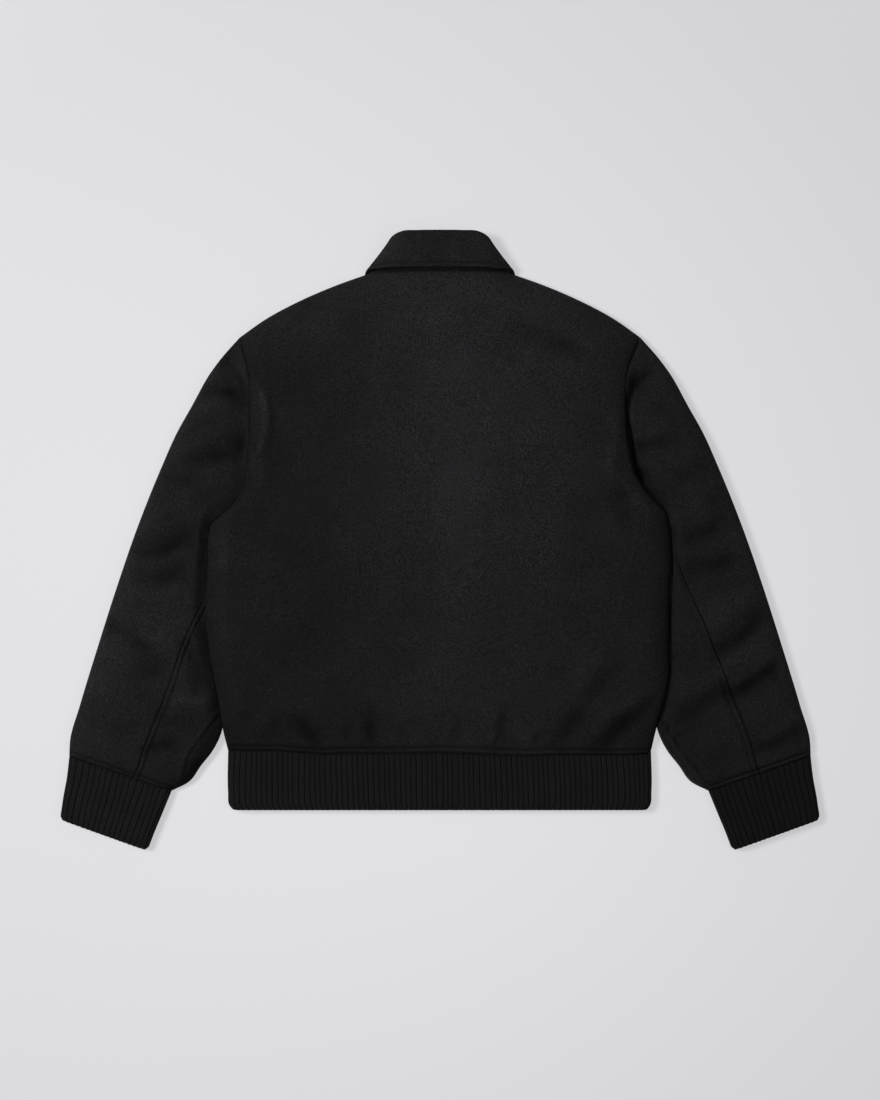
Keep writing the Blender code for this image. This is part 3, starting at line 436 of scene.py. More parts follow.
def creases(x, y, table):
    """How far the creases push the cloth down: uneven troughs with a ridge on their left side."""
    down = np.zeros_like(x)
    for width, depth, ridge, *line in table:
        points = np.array(line, float).reshape(-1, 2)
        if len(points) == 2:
            step = points[1] - points[0]
            bow = points.mean(axis=0) + 0.06 * np.array((-step[1], step[0]))
            points = np.array((points[0], bow, points[1]))
        parts = 24 if len(points) > 4 else 12
        points = spline(points)(np.linspace(0, 1, parts + 1))
        away, share = np.full(x.shape, 1e9), np.zeros_like(x)
        for k, (start, end) in enumerate(zip(points[:-1], points[1:])):
            step = end - start
            t = np.clip(((x - start[0]) * step[0] + (y - start[1]) * step[1]) / (step @ step), 0, 1)
            dx, dy = x - start[0] - t * step[0], y - start[1] - t * step[1]
            here = np.hypot(dx, dy)
            nearer = here < abs(away)
            away = np.where(nearer, here * np.where(step[0] * dy > step[1] * dx, 1, -1), away)
            share = np.where(nearer, (k + t) / parts, share)
        taper = smooth((share + 0.12) / 0.42) * smooth((1.12 - share) / 0.42)
        taper = taper * (1 + 0.25 * np.sin(9 * share + 20 * depth))
        trough = bell(away, width)
        crest = bell(away - 1.8 * width, 1.3 * width)
        down += depth * taper * (trough - ridge * crest)
    return down


def held(down):
    """The small creases stay shallower than the cloth is thick."""
    return np.where(down > 0, 1.9 * np.tanh(down / 1.9), down)


def nap(x, y, seed):
    """Unevenness of thick felted cloth."""
    cells = ((0.22, 34), (0.10, 13), (0.045, 5.5))
    return sum(high * wander(x, y, cell, seed + k) for k, (high, cell) in enumerate(cells))


def rib_seam_relief(d):
    """A welt beside a rib seam: the turned-in allowance, held down by its topstitching."""
    welt = 1.3 * bell(d - 3.4, 2.0)
    groove = 1.5 * bell(d - STITCH, 1.2)
    return welt - groove - 1.4 * bell(d, 1.1) + 0.5 * bell(d - 11, 3.0)


def rib_seam_shade(d):
    """Painted shade in the seam and under its topstitching."""
    return -0.27 * bell(d - STITCH, 1.4) - 0.30 * bell(d, 1.5)


# Meshes


def unit(vectors):
    return vectors / np.linalg.norm(vectors, axis=-1, keepdims=True)


def normals(layer, s, r, side):
    """Which way a layer faces, from points just beside each one. side is 1 for up and -1 for down."""
    e = 5e-4
    across = layer(np.minimum(s + e, 1), r) - layer(np.maximum(s - e, 0), r)
    along = layer(s, np.minimum(r + e, 1)) - layer(s, np.maximum(r - e, 0))
    found = unit(np.cross(across, along))
    return found * np.where(found[..., 2:] * side < 0, -1, 1)


def outward(curve, t, side):
    """Level, square to the curve. side is 1 for the right of its direction."""
    step = curve(np.minimum(t + 1e-3, 1)) - curve(np.maximum(t - 1e-3, 0))
    return unit(side * np.stack([step[..., 1], -step[..., 0], np.zeros(step.shape[:-1])], axis=-1))


def quads(at):
    """The faces between the points numbered in a grid."""
    return np.stack([at[:-1, :-1], at[:-1, 1:], at[1:, 1:], at[1:, :-1]], axis=-1).reshape(-1, 4).tolist()


def strip(points, a, b):
    """Triangles between two lines of points that start and end side by side, by the shorter way across."""
    faces = []
    i, j = 0, 0
    while i < len(a) - 1 or j < len(b) - 1:
        on_a = np.linalg.norm(points[a[min(i + 1, len(a) - 1)]] - points[b[j]])
        on_b = np.linalg.norm(points[a[i]] - points[b[min(j + 1, len(b) - 1)]])
        if j == len(b) - 1 or (i < len(a) - 1 and on_a <= on_b):
            faces.append((a[i], a[i + 1], b[j]))
            i += 1
        else:
            faces.append((a[i], b[j + 1], b[j]))
            j += 1
    return faces


def placed(name, data):
    """An object in the scene that shows the data."""
    shown = bpy.data.objects.new(name, data)
    bpy.context.scene.collection.objects.link(shown)
    return shown


def make(name, points, faces, material, uv=None, tone=1.0):
    """One closed piece, its faces turned outward.

    uv gives each point a place on the cloth, and tone how light its colour is made: mostly painted light and
    shade, with a little random unevenness.
    """
    points = np.asarray(points, float)
    first, second, third, last = (points[[face[k] for face in faces]] for k in (0, 1, 2, -1))
    volume = np.sum(first * (np.cross(second, third) + np.cross(third, last)))
    if volume < 0:
        faces = [tuple(reversed(face)) for face in faces]
    mesh = bpy.data.meshes.new(name)
    mesh.from_pydata((points * MM).tolist(), [], faces)
    mesh.polygons.foreach_set("use_smooth", [True] * len(mesh.polygons))
    mesh.materials.append(material)
    mesh.update()
    if uv is not None:
        corners = np.empty(len(mesh.loops), int)
        mesh.loops.foreach_get("vertex_index", corners)
        layer = mesh.uv_layers.new(name="cloth")
        layer.data.foreach_set("uv", (uv[corners] * MM).ravel())
    values = np.broadcast_to(np.asarray(tone, float), len(points))
    mesh.attributes.new("tone", "FLOAT", "POINT").data.foreach_set("value", np.ascontiguousarray(values))
    return placed(name, mesh)


def thin_shell(name, outer, inner, material, closed=False, uv=None, tone=None):
    """A shell of fine outer points over a coarser grid of inner ones: a tube where closed, or a sheet."""
    rows, columns = outer.shape[:2]
    top = np.arange(rows * columns).reshape(rows, columns)
    below = rows * columns + np.arange(inner.shape[0] * inner.shape[1]).reshape(inner.shape[:2])
    points = np.concatenate([outer.reshape(-1, 3), inner.reshape(-1, 3)])
    if uv is not None:
        near = np.linspace(0, 1, inner.shape[1]) * (columns - 1)
        uv_in = uv[np.linspace(0, rows - 1, inner.shape[0]).astype(int)][:, near.astype(int)]
        uv = np.concatenate([uv.reshape(-1, 2), uv_in.reshape(-1, 2)])
    tone = 1.0 if tone is None else np.r_[tone.ravel(), np.full(inner.shape[0] * inner.shape[1], 0.4)]
    if closed:
        top = np.c_[top, top[:, 0]]
        below = np.c_[below, below[:, 0]]
    faces = quads(top) + quads(below[::-1])
    faces += strip(points, below[0], top[0]) + strip(points, top[-1], below[-1])
    if not closed:
        faces += strip(points, top[:, 0], below[:, 0]) + strip(points, below[:, -1], top[:, -1])
    return make(name, points, faces, material, uv, tone)


def thinned(count, step):
    """Every step-th index, with the last."""
    return np.unique(np.r_[np.arange(0, count, step), count - 1])


def kept_inside(inner, outer, facing, reach=5):
    """The inner points, lowered where a deep crease above them would come through."""
    z = np.pad(outer[..., 2], reach, mode="edge")
    lowest = np.lib.stride_tricks.sliding_window_view(z, (2 * reach + 1, 2 * reach + 1)).min(axis=(2, 3))
    down = np.clip(inner[..., 2] - lowest + 1.4, 0, 1.6) * (facing[..., 2] > 0.8)
    return inner - down[..., None] * (0, 0, 1)


def edge_steps(depth, count):
    """Distances from an edge that follow a quarter round."""
    return depth * (1 - np.cos(np.linspace(0, np.pi / 2, count)))


def flipped(side):
    return -1.0 if side == "left" else 1.0


# The body

SIDE_Z = 10.0
SHOULDER_Z = 8.0
HEM_RISE = 0.061
SIDE_EDGE = (
    (0, 6.4), (HEM_RISE, SIDE_Z), (0.5, SIDE_Z), (0.58, 16.5), (0.66, 19.5), (0.88, 19), (1, SHOULDER_Z),
)
NECK_EDGE = ((0, 17.3), (30, 16.9), (60, 14.3), (86, SHOULDER_Z), (240, SHOULDER_Z))
BACK_HEIGHT = ((0, 12.4), (0.025, 17.5), (0.1, 24), (0.3, 27), (0.6, 27.5), (0.85, 26), (1, 23))
ARMHOLE_LONG = 260.0


def armhole_curve(side, away=0.0):
    return shifted(spline(ARMHOLE[side]), away)


def side_curve(side):
    return joined(spline(SIDE[side]), armhole_curve(side))


def rim_height(r):
    """Height of the back panel's edge up the side and round the armhole, over its share of the way up."""
    return np.where(r < HEM_RISE, np.interp(r, (0, HEM_RISE), (SIDE_EDGE[0][1], SIDE_Z)), ease(r, SIDE_EDGE))


def underarm_height(d):
    """How high the lower armhole seam is, this far from the underarm."""
    return SIDE_Z * (1 - dome(d / 18))


def armhole_facing(t, sleeve, up):
    """Which way the walls face along the armhole: t runs from the underarm (0) to the shoulder (1)."""
    at_shoulder = smooth((t - 0.93) / 0.07)[..., None]
    at_underarm = smooth((0.08 - t) / 0.08)[..., None]
    shoulder = np.array((0.55, 0.83, 0.0))
    underarm = np.array(((-1.0 if sleeve else 1.0), -1.0, 0.0)) / np.sqrt(2)
    middle = np.array((0.0, 0.0, 1.0 if up else -1.0))
    return unit(at_shoulder * shoulder + at_underarm * underarm + (1 - at_shoulder - at_underarm) * middle)


def back_patch():
    hem = spline(((-254, HEM_Y), (0, HEM_Y), (253, HEM_Y)))
    neck = spline([(-x, y) for x, y in NECK_BACK] + [(x, y) for x, y in NECK_BACK[-2::-1]])
    left = spline([(-x, y) for x, y in SHOULDER_LINE])
    right = spline(SHOULDER_LINE[::-1])
    top = joined(joined(left, neck, 0.5), right, 2 / 3)
    return coons(hem, top, mirrored(side_curve("left")), side_curve("right"))


def under_collar(x, y):
    """1 in the shallow trough where the collar's edge overhangs the back."""
    return bell(y - 323.6 + (x / 92) ** 4 * 2, 2.6) * smooth((88 - abs(x)) / 26)


def hem_drop(x, d_side, d_hem):
    """How far the sagging hem seam draws the cloth down, this far from the side and from the seam."""
    return ease(x, SEAM_SAG) * smooth(d_side / 5) * (1 - smooth(d_hem / 66))


def back_folds(x, y):
    return np.where(x < 0, folds(-x, y, BACK_FOLDS["left"]), folds(x, y, BACK_FOLDS["right"]))


def back_layer(fine):
    patch = back_patch()

    def layer(s, r):
        xy = patch(s, r)
        x, y = xy[..., 0], xy[..., 1]
        d_side = (1 - abs(2 * s - 1)) * BODY_HALF
        d_top = (1 - r) * BODY_LONG
        rim = rim_height(r)
        top = ease(abs(x), NECK_EDGE)
        edge = (rim * d_top**2 + top * d_side**2 + 1e-9 * rim) / (d_side**2 + d_top**2 + 1e-9)
        full = ease(r, BACK_HEIGHT) - 2.5 * (2 * s - 1) ** 2
        full = np.maximum(full, edge)
        soft = smooth(-x / 60) * smooth((r - 0.07) / 0.06) * smooth((0.62 - r) / 0.1)
        z = edge + (full - edge) * swell(d_side / 32, soft) * dome(d_top / 36)
        fade = smooth(d_side / 16) * smooth(d_top / 16) * smooth(r * CENTRE_LONG / 14)
        z = z - back_folds(x, y) * fade
        if fine:
            soft = smooth(d_side / 10) * smooth(d_top / 10) * smooth((r * CENTRE_LONG - 9) / 12)
            z = z - held(creases(x, y, BACK_CREASES)) * soft + nap(x, y, 11) * soft
            z = z + rib_seam_relief(r * CENTRE_LONG) * smooth(d_side / 8)
            z = z - 2.0 * under_collar(x, y)
            roll = bell(d_side, 1.8) * smooth((r - 0.53) / 0.03)
            z = z - 0.25 * roll - 0.6 * bell(d_top, 1.8) * (abs(x) > NECK_SIDE[0])
        else:
            z = z - 0.4 * bell(r * CENTRE_LONG - STITCH, 1.5) * smooth(d_side / 8)
        return np.stack([x, y - hem_drop(x, d_side, r * CENTRE_LONG), z], axis=-1)

    return layer


# Painted light and shade on the back: lighter in the middle and towards the top, darker to the left, at the
# sides and near the hem, with a little random unevenness of the nap.
def back_painted_light(points, s, r):
    side = (1 - abs(2 * s - 1)) * BODY_HALF
    x, y = points[..., 0], points[..., 1] + hem_drop(points[..., 0], side, r * CENTRE_LONG)
    middle = bell(x - 15, np.where(x < 15, 110, 160)) * (0.45 + 0.55 * smooth((y + 100) / 180))
    tone = 0.60 - 0.08 * smooth(-x / 120) + 0.45 * middle
    tone = tone + 0.16 * smooth((y - 200) / 60) * (1 - middle) - 0.10 * smooth((-190 - y) / 40)
    # Painted shade in the folds and creases.
    tone = tone - FOLD_SHADE * back_folds(x, y) - CREASE_SHADE * creases(x, y, BACK_CREASES)
    # Painted shadow under the collar's overhanging edge.
    tone = tone - 1.1 * under_collar(x, y)
    # Painted shadow in the gap between the body and the right sleeve, and painted shade along the side edges.
    right_gap_shadow = 0.40 * bell(side, 4) * (x > 0) * smooth((20 - y) / 30)
    tone = tone - 0.10 * bell(side, 14) - right_gap_shadow + 0.05 * wander(x, y, 30, 91)
    # Painted shade at the hem seam and its topstitching.
    return np.clip(tone + rib_seam_shade(r * CENTRE_LONG), 0.15, 1.4)


def build_back(material):
    near_hem = np.arange(0, 16, 0.8) / CENTRE_LONG
    rows = np.r_[near_hem, np.arange(16, CENTRE_LONG, FINE) / CENTRE_LONG]
    rows = np.r_[rows[rows < 1 - 6 / BODY_LONG], 1 - np.array((5.0, 3.5, 2.2, 1.2, 0.5, 0.0)) / BODY_LONG]
    near = edge_steps(12, 9) / BODY_HALF / 2
    columns = np.r_[near, np.linspace(near[-1], 1 - near[-1], int(500 / FINE))[1:-1], 1 - near[::-1]]
    s, r = np.meshgrid(columns, rows)
    r = np.maximum(r, GAP / 2 / BODY_LONG)
    outer = back_layer(True)(s, r)
    layer = back_layer(False)
    base, facing = layer(s, r), normals(layer, s, r, 1)
    top = back_patch()
    ends = outward(lambda t: top(t, np.ones_like(t)), s[-1], -1)
    neck = abs(outer[-1, :, 0]) < NECK_SIDE[0] - 1
    facing[-1] = np.where(neck[:, None], unit(np.array((0.0, 0.05, 1.0))), ends)
    for side, k in (("left", 0), ("right", -1)):
        rr = r[:, k]
        level = outward(side_curve(side), rr, 1) * (flipped(side), 1, 1)
        hole = armhole_facing((rr - 0.5) * 2, False, True) * (flipped(side), 1, 1)
        facing[:, k] = np.where((rr < 0.5)[:, None], level, hole)
    lift = (s == 0) | (s == 1) | (r == 1)
    outer[..., 2] += GAP / 2 * lift
    base[..., 2] += GAP / 2 * lift
    rows_in, columns_in = thinned(len(rows), 5), thinned(len(columns), 5)
    inner = kept_inside(base - CLOTH * facing, outer, facing)[rows_in][:, columns_in]
    return thin_shell("jacket_back", outer, inner, material, tone=back_painted_light(outer, s, r))


def front_neck():
    return spline(NECK_FRONT + ((-LAP, NECK_FRONT[-1][1]),))


def front_patch(side):
    """s runs from the side seam to the centre edge, r from the hem seam to the shoulder and neck."""
    hem = spline((SIDE[side][0], (120, HEM_Y), (-LAP, HEM_Y)))
    shoulder = spline(SHOULDER_LINE)
    centre = spline(((-LAP, HEM_Y), (-LAP, 0), (-LAP, NECK_FRONT[-1][1])))
    return coons(hem, joined(shoulder, front_neck(), 0.55), side_curve(side), centre)


def front_layer(side, fine):
    patch = front_patch(side)

    def layer(s, r):
        xy = patch(s, r)
        x, y = xy[..., 0], xy[..., 1]
        d_side = s * FRONT_WIDE
        d_top = (1 - r) * BODY_LONG
        edge = np.where(r < 0.5, rim_height(r), underarm_height((r - 0.5) * 2 * ARMHOLE_LONG))
        z = WING_LIFT * smooth((y - 150) / 40) * smooth((148 - x) / 36)
        if side == "right":
            z = z + LAP_LIFT * smooth((32 - x) / 13)
        shoulder = (1 - dome(d_top / SHOULDER_Z)) * (1 - smooth((NECK_SIDE[0] - x) / 12))
        z = z + (SHOULDER_Z - z) * shoulder + edge * (1 - dome(d_side / SIDE_Z)) * (1 - shoulder)
        if fine:
            d_hem = r * CENTRE_LONG
            flat = smooth((d_side - 14) / 10) * smooth(d_top / 20)
            groove = bell(d_hem - STITCH, 1.1) + bell(d_hem, 0.9)
            z = z + 0.8 * groove * smooth((d_side - 6) / 6)
            z = z + creases(x, y, FRONT_CREASES) * flat * smooth((d_hem - 9) / 12)
        return np.stack([x, y, z], axis=-1)

    return layer


def build_front(side, material):
    rows = np.r_[np.arange(0, 12, 0.8) / CENTRE_LONG, np.arange(14, 580, 5.0) / CENTRE_LONG]
    rows = np.r_[rows[rows < 1 - 9 / BODY_LONG], 1 - edge_steps(8, 6)[::-1] / BODY_LONG]
    columns = np.r_[edge_steps(SIDE_Z, 7) / FRONT_WIDE, np.linspace(0.04, 1, 58)[1:]]
    s, r = np.meshgrid(columns, rows)
    r = np.maximum(r, GAP / 2 / BODY_LONG)
    outer = front_layer(side, True)(s, r)
    layer = front_layer(side, False)
    base, facing = layer(s, r), normals(layer, s, r, -1)
    rr = r[:, 0]
    hole = armhole_facing((rr - 0.5) * 2, False, False)
    facing[:, 0] = np.where((rr < 0.5)[:, None], outward(side_curve(side), rr, 1), hole)
    patch = front_patch(side)
    ends = outward(lambda t: patch(t, np.ones_like(t)), s[-1], 1)
    neck = outer[-1, :, 0] < NECK_SIDE[0] - 1
    facing[-1] = np.where(neck[:, None], (0.0, 0.0, -1.0), ends)
    for points in (outer, base):
        points[:, 0, 2] = np.maximum(points[:, 0, 2] - 2 * GAP / 3, 0)
        points[-1, :, 2] -= GAP / 2 * ~neck
    turn = np.array((flipped(side), 1, 1))
    rows_in, columns_in = thinned(len(rows), 4), thinned(len(columns), 4)
    inner = ((base - CLOTH * facing) * turn)[rows_in][:, columns_in]
    return thin_shell("jacket_front_" + side, outer * turn, inner, material)


# The sleeves

CLOSED = 0.5  # how far the sleeve closes in at the underarm corner
UNDERARM_AT = 0.3  # share of the inner edge that is armhole
NARROWEST = 1.8  # width of the under sleeve where it begins, at the underarm
SLEEVE_HEIGHT = ((0, 21), (0.12, 21.5), (0.5, 22), (0.8, 20.5), (0.955, 18.5), (1, 12.4))
SLEEVE_OUTER_Z = ((0, SHOULDER_Z), (0.1, 9.0), (0.9, 8.5), (1, 6.2))
SLEEVE_INNER_Z = {
    "left": ((0, SIDE_Z), (0.3, 9.6), (0.37, 9.4), (0.78, 9.4), (0.88, 8.4), (1, 6.2)),
    "right": ((0, SIDE_Z), (0.3, 9.0), (0.37, 5.4), (0.78, 5.4), (0.88, 7.4), (1, 6.2)),
}


def inner_curve(side):
    """The sleeve's inner fold: tucked just under the body's side, then away from it to the cuff."""
    tuck = ((0.985, -0.25), (0.95, -0.45), (0.84, -0.6), (0.6, -0.6), (0.3, -0.6), (0.2, -0.5), (0.11, -0.2))
    points = [tuple(shifted(spline(SIDE[side]), by)(t)) for t, by in tuck]
    start = armhole_curve(side, GAP)(0.0) - (CLOSED, 0)
    return spline([tuple(start)] + points + list(INNER_END))


def sleeve_patch(side):
    """s runs from the outer fold to the inner fold, r from the armhole to the cuff seam.

    The armhole's lower run, from ARMHOLE_TURN to the underarm, is the start of the inner edge.
    """
    armhole = armhole_curve(side, GAP)
    first_run = lambda t: armhole(1 - t * (1 - ARMHOLE_TURN))
    closing = lambda t: CLOSED * smooth((t - 0.8) / 0.2)[..., None] * (-1, 0)
    second_run = lambda t: armhole(ARMHOLE_TURN * (1 - t)) + closing(t)
    inner = joined(second_run, inner_curve(side), UNDERARM_AT)
    outer = spline(OUTER)
    step = armhole(1.0) - outer(0.0)
    ahead = lambda t: t + 0.1 * np.sin(np.pi * t)
    outer_edge = lambda t: outer(ahead(t)) + (1 - smooth(t * 20))[..., None] * step
    cuff = spline((OUTER[-1], INNER_END[-1]))
    return coons(first_run, cuff, outer_edge, inner)


def widths(patch, r):
    """How wide the patch is at each r."""
    return np.linalg.norm(patch(0 * r, r) - patch(0 * r + 1, r), axis=-1)


def sleeve_layer(side, up, fine, seam=None):
    """The sleeve's upper or lower layer. seam gives the share across of the hind-arm seam for each r."""
    patch = sleeve_patch(side)

    def layer(s, r):
        xy = patch(s, r)
        x, y = xy[..., 0], xy[..., 1]
        width = widths(patch, r)
        d_outer, d_inner = s * width, (1 - s) * width
        early = r < UNDERARM_AT
        from_underarm = ARMHOLE_TURN * ARMHOLE_LONG * (1 - r / UNDERARM_AT)
        from_cuff = (1 - r) * SLEEVE_LONG
        z_outer, z_inner = ease(r, SLEEVE_OUTER_Z), ease(r, SLEEVE_INNER_Z[side])
        if not up:
            z_inner = np.where(early, underarm_height(from_underarm), z_inner)
            z = z_outer * (1 - dome(d_outer / z_outer)) + z_inner * (1 - dome(d_inner / SIDE_Z))
            if fine:
                flat = smooth((d_outer - 12) / 10) * smooth((d_inner - 14) / 10)
                groove = bell(from_cuff - STITCH, 1.1) + bell(from_cuff, 0.9)
                table = UNDER_CREASES[side]
                z = z + (creases(x, y, table) * smooth((from_cuff - 9) / 10) + 0.8 * groove) * flat
            return np.stack([x, y, z], axis=-1)
        sunk = 0.25 * smooth(from_underarm / 40)
        z_inner = np.where(early, rim_height(0.5 + ARMHOLE_TURN / 2 * (1 - r / UNDERARM_AT)) - sunk, z_inner)
        edge = z_outer + (z_inner - z_outer) * s
        full = np.maximum(ease(r, SLEEVE_HEIGHT), edge)
        soft = 1.0 if side == "left" else smooth((UNDERARM_AT + 0.06 - r) / 0.08)
        inner_rise = swell(d_inner / (24 if side == "left" else 32), soft)
        pillow = edge + (full - edge) * dome(d_outer / (0.42 * width)) * inner_rise
        step = smooth((s - 0.35) / 0.3) * smooth((0.93 - s) / 0.14) * (1.9 if side == "right" else 0.5)
        at_hole = rim_height(1 - s * (1 - ARMHOLE_TURN) / 2) - 0.4 * smooth(s / 0.15) - step
        near = 1 - smooth(r * SLEEVE_LONG / 40)
        z = near * at_hole + (1 - near) * pillow
        fade = smooth(d_outer / 14) * smooth(d_inner / 10)
        fade = fade * smooth(r * SLEEVE_LONG / 8) * smooth(from_cuff / 14)
        z = z - folds(x, y, SLEEVE_FOLDS[side]) * fade
        if fine:
            soft = smooth(d_outer / 8) * smooth(d_inner / 8) * smooth(r * SLEEVE_LONG / 3)
            z = z + rib_seam_relief(from_cuff) * smooth(d_outer / 8) * smooth(d_inner / 8)
            away = soft * smooth((from_cuff - 9) / 10)
            z = z - held(creases(x, y, SLEEVE_CREASES[side])) * away
            z = z + nap(x, y, 23 if side == "left" else 37) * away
            z = z - creases(x, y, ((1.5, 1.9, 0.5, *FORE_SEAM[side]),)) * away
            if seam is not None:
                d_seam = (s - seam(r)) * width * 0.92
                late = smooth((r - UNDERARM_AT - 0.01) / 0.05) * smooth(((1 - seam(r)) * width - 5) / 7)
                welt = 0.55 * bell(d_seam - 2.9, 2.4) * smooth(d_seam / 0.8)
                groove = 0.9 * bell(d_seam - SEAM_STITCH, 0.9)
                edge_roll = 0.8 * bell(d_seam, 1.0)
                z = z + (welt - groove - edge_roll) * late
        else:
            z = z - 0.4 * bell(from_cuff - STITCH, 1.5) * smooth(d_outer / 8) * smooth(d_inner / 8)
        return np.stack([x, y, z], axis=-1)

    return layer


# Painted light and shade on the sleeves: lighter towards the outer fold, the right sleeve darker than the
# left, the left one lighter down its middle and darker near the cuff, with painted shade in folds, creases,
# seams and the gap beside the body, and a little random unevenness.
def sleeve_painted_light(side, points, s, r, seam):
    x, y = points[..., 0], points[..., 1]
    d_inner = (1 - s) * SLEEVE_MEAN
    low = smooth((r - 0.84) / 0.05)
    if side == "left":
        across = ((0, 1.0), (0.25, 0.80), (0.6, 0.74), (1, 0.62))
        level = 0.80 + 0.20 * smooth((-20 - y) / 100) - 0.22 * smooth((-165 - y) / 50)
        slope = smooth((r - 0.24) / 0.06) * smooth((0.56 - r) / 0.1)
        # Painted light lifts the strip beside the body on the left sleeve, and painted shade darkens its
        # inner edge near the cuff.
        edge = (0.10 - 1.0 * slope) * bell(d_inner, 10) + 0.34 * low * smooth((13 - d_inner) / 6)
    else:
        across = ((0, 0.80), (0.25, 0.76), (0.6, 0.72), (1, 0.52))
        level = 0.94
        # Painted shadow along the gap beside the body.
        edge = 0.42 * bell(d_inner, 4) * (r > UNDERARM_AT) * (1 - low)
    tone = np.interp(s, *zip(*across)) * level + 0.06 * wander(x, y, 24, 57)
    # Painted shade in the folds, the creases and along the fore-arm seam.
    tone = tone - FOLD_SHADE * folds(x, y, SLEEVE_FOLDS[side])
    tone = tone - CREASE_SHADE * creases(x, y, SLEEVE_CREASES[side] + ((1.6, 5.0, 0.5, *FORE_SEAM[side]),))
    if side == "right":
        tone = tone - creases(x, y, ((2.0, 0.34, 0.25, *CRESCENT_SHADE),))
    # Painted shade at the cuff seam and its topstitching.
    tone = tone + 1.4 * rib_seam_shade((1 - r) * SLEEVE_LONG) - edge
    width = np.clip((1 - seam) * SLEEVE_MEAN, 0, 40)
    from_seam = (s - seam) * SLEEVE_MEAN
    # Painted shade in the hind-arm seam and under its topstitching.
    beside = bell(from_seam - SEAM_STITCH, 1.5) + bell(from_seam, 1.4)
    tone = tone - 0.26 * beside * smooth((width - 5) / 7)
    return np.clip(tone, 0.10, 1.4)


def located(patch, points, s, r):
    """The s and r of points on the patch, found from near ones."""
    e = 1e-3
    for _ in range(12):
        here = patch(s, r)
        across = (patch(s + e, r) - here) / e
        along = (patch(s, r + e) - here) / e
        miss = points - here
        det = across[:, 0] * along[:, 1] - across[:, 1] * along[:, 0]
        s = s + np.clip((miss[:, 0] * along[:, 1] - miss[:, 1] * along[:, 0]) / det, -0.1, 0.1)
        r = r + np.clip((across[:, 0] * miss[:, 1] - across[:, 1] * miss[:, 0]) / det, -0.1, 0.1)
        s, r = np.clip(s, 0, 0.998), np.clip(r, 0, 0.998)
    return s, r


def seam_function(side):
    """Where the hind-arm seam crosses each ring, as a share from the outer fold, for any r."""
    patch = sleeve_patch(side)
    s_grid, r_grid = np.meshgrid(np.linspace(0.3, 0.99, 80), np.linspace(0.05, 0.99, 120))
    xy = patch(s_grid, r_grid)
    seam = spline(HIND_SEAM[side])(np.linspace(0, 0.98, 15))
    nearest = [np.argmin(np.linalg.norm(xy - point, axis=-1)) for point in seam]
    s, r_found = located(patch, seam, s_grid.flat[nearest], r_grid.flat[nearest])
    order = np.argsort(r_found)
    knots_r, knots_s = r_found[order], s[order]
    slope = (knots_s[-1] - knots_s[-3]) / (knots_r[-1] - knots_r[-3])
    fine_r = np.linspace(0, 1, 401)
    share = np.interp(fine_r, knots_r, knots_s, left=1.0)
    share += (fine_r > knots_r[-1]) * (fine_r - knots_r[-1]) * slope
    edge = np.ones_like(fine_r)
    across = (patch(edge, fine_r) - patch(edge - 1e-3, fine_r)) / 1e-3
    on = np.minimum(fine_r + 5e-3, 1)
    run = unit(patch(edge, on) - patch(edge, on - 5e-3))
    share = np.minimum(share, 1 - NARROWEST / abs(across[:, 0] * run[:, 1] - across[:, 1] * run[:, 0]))
    kernel = np.hanning(17) / np.hanning(17).sum()
    share = np.convolve(np.pad(share, 8, mode="edge"), kernel, "valid")
    return lambda r: np.interp(r, fine_r, share)


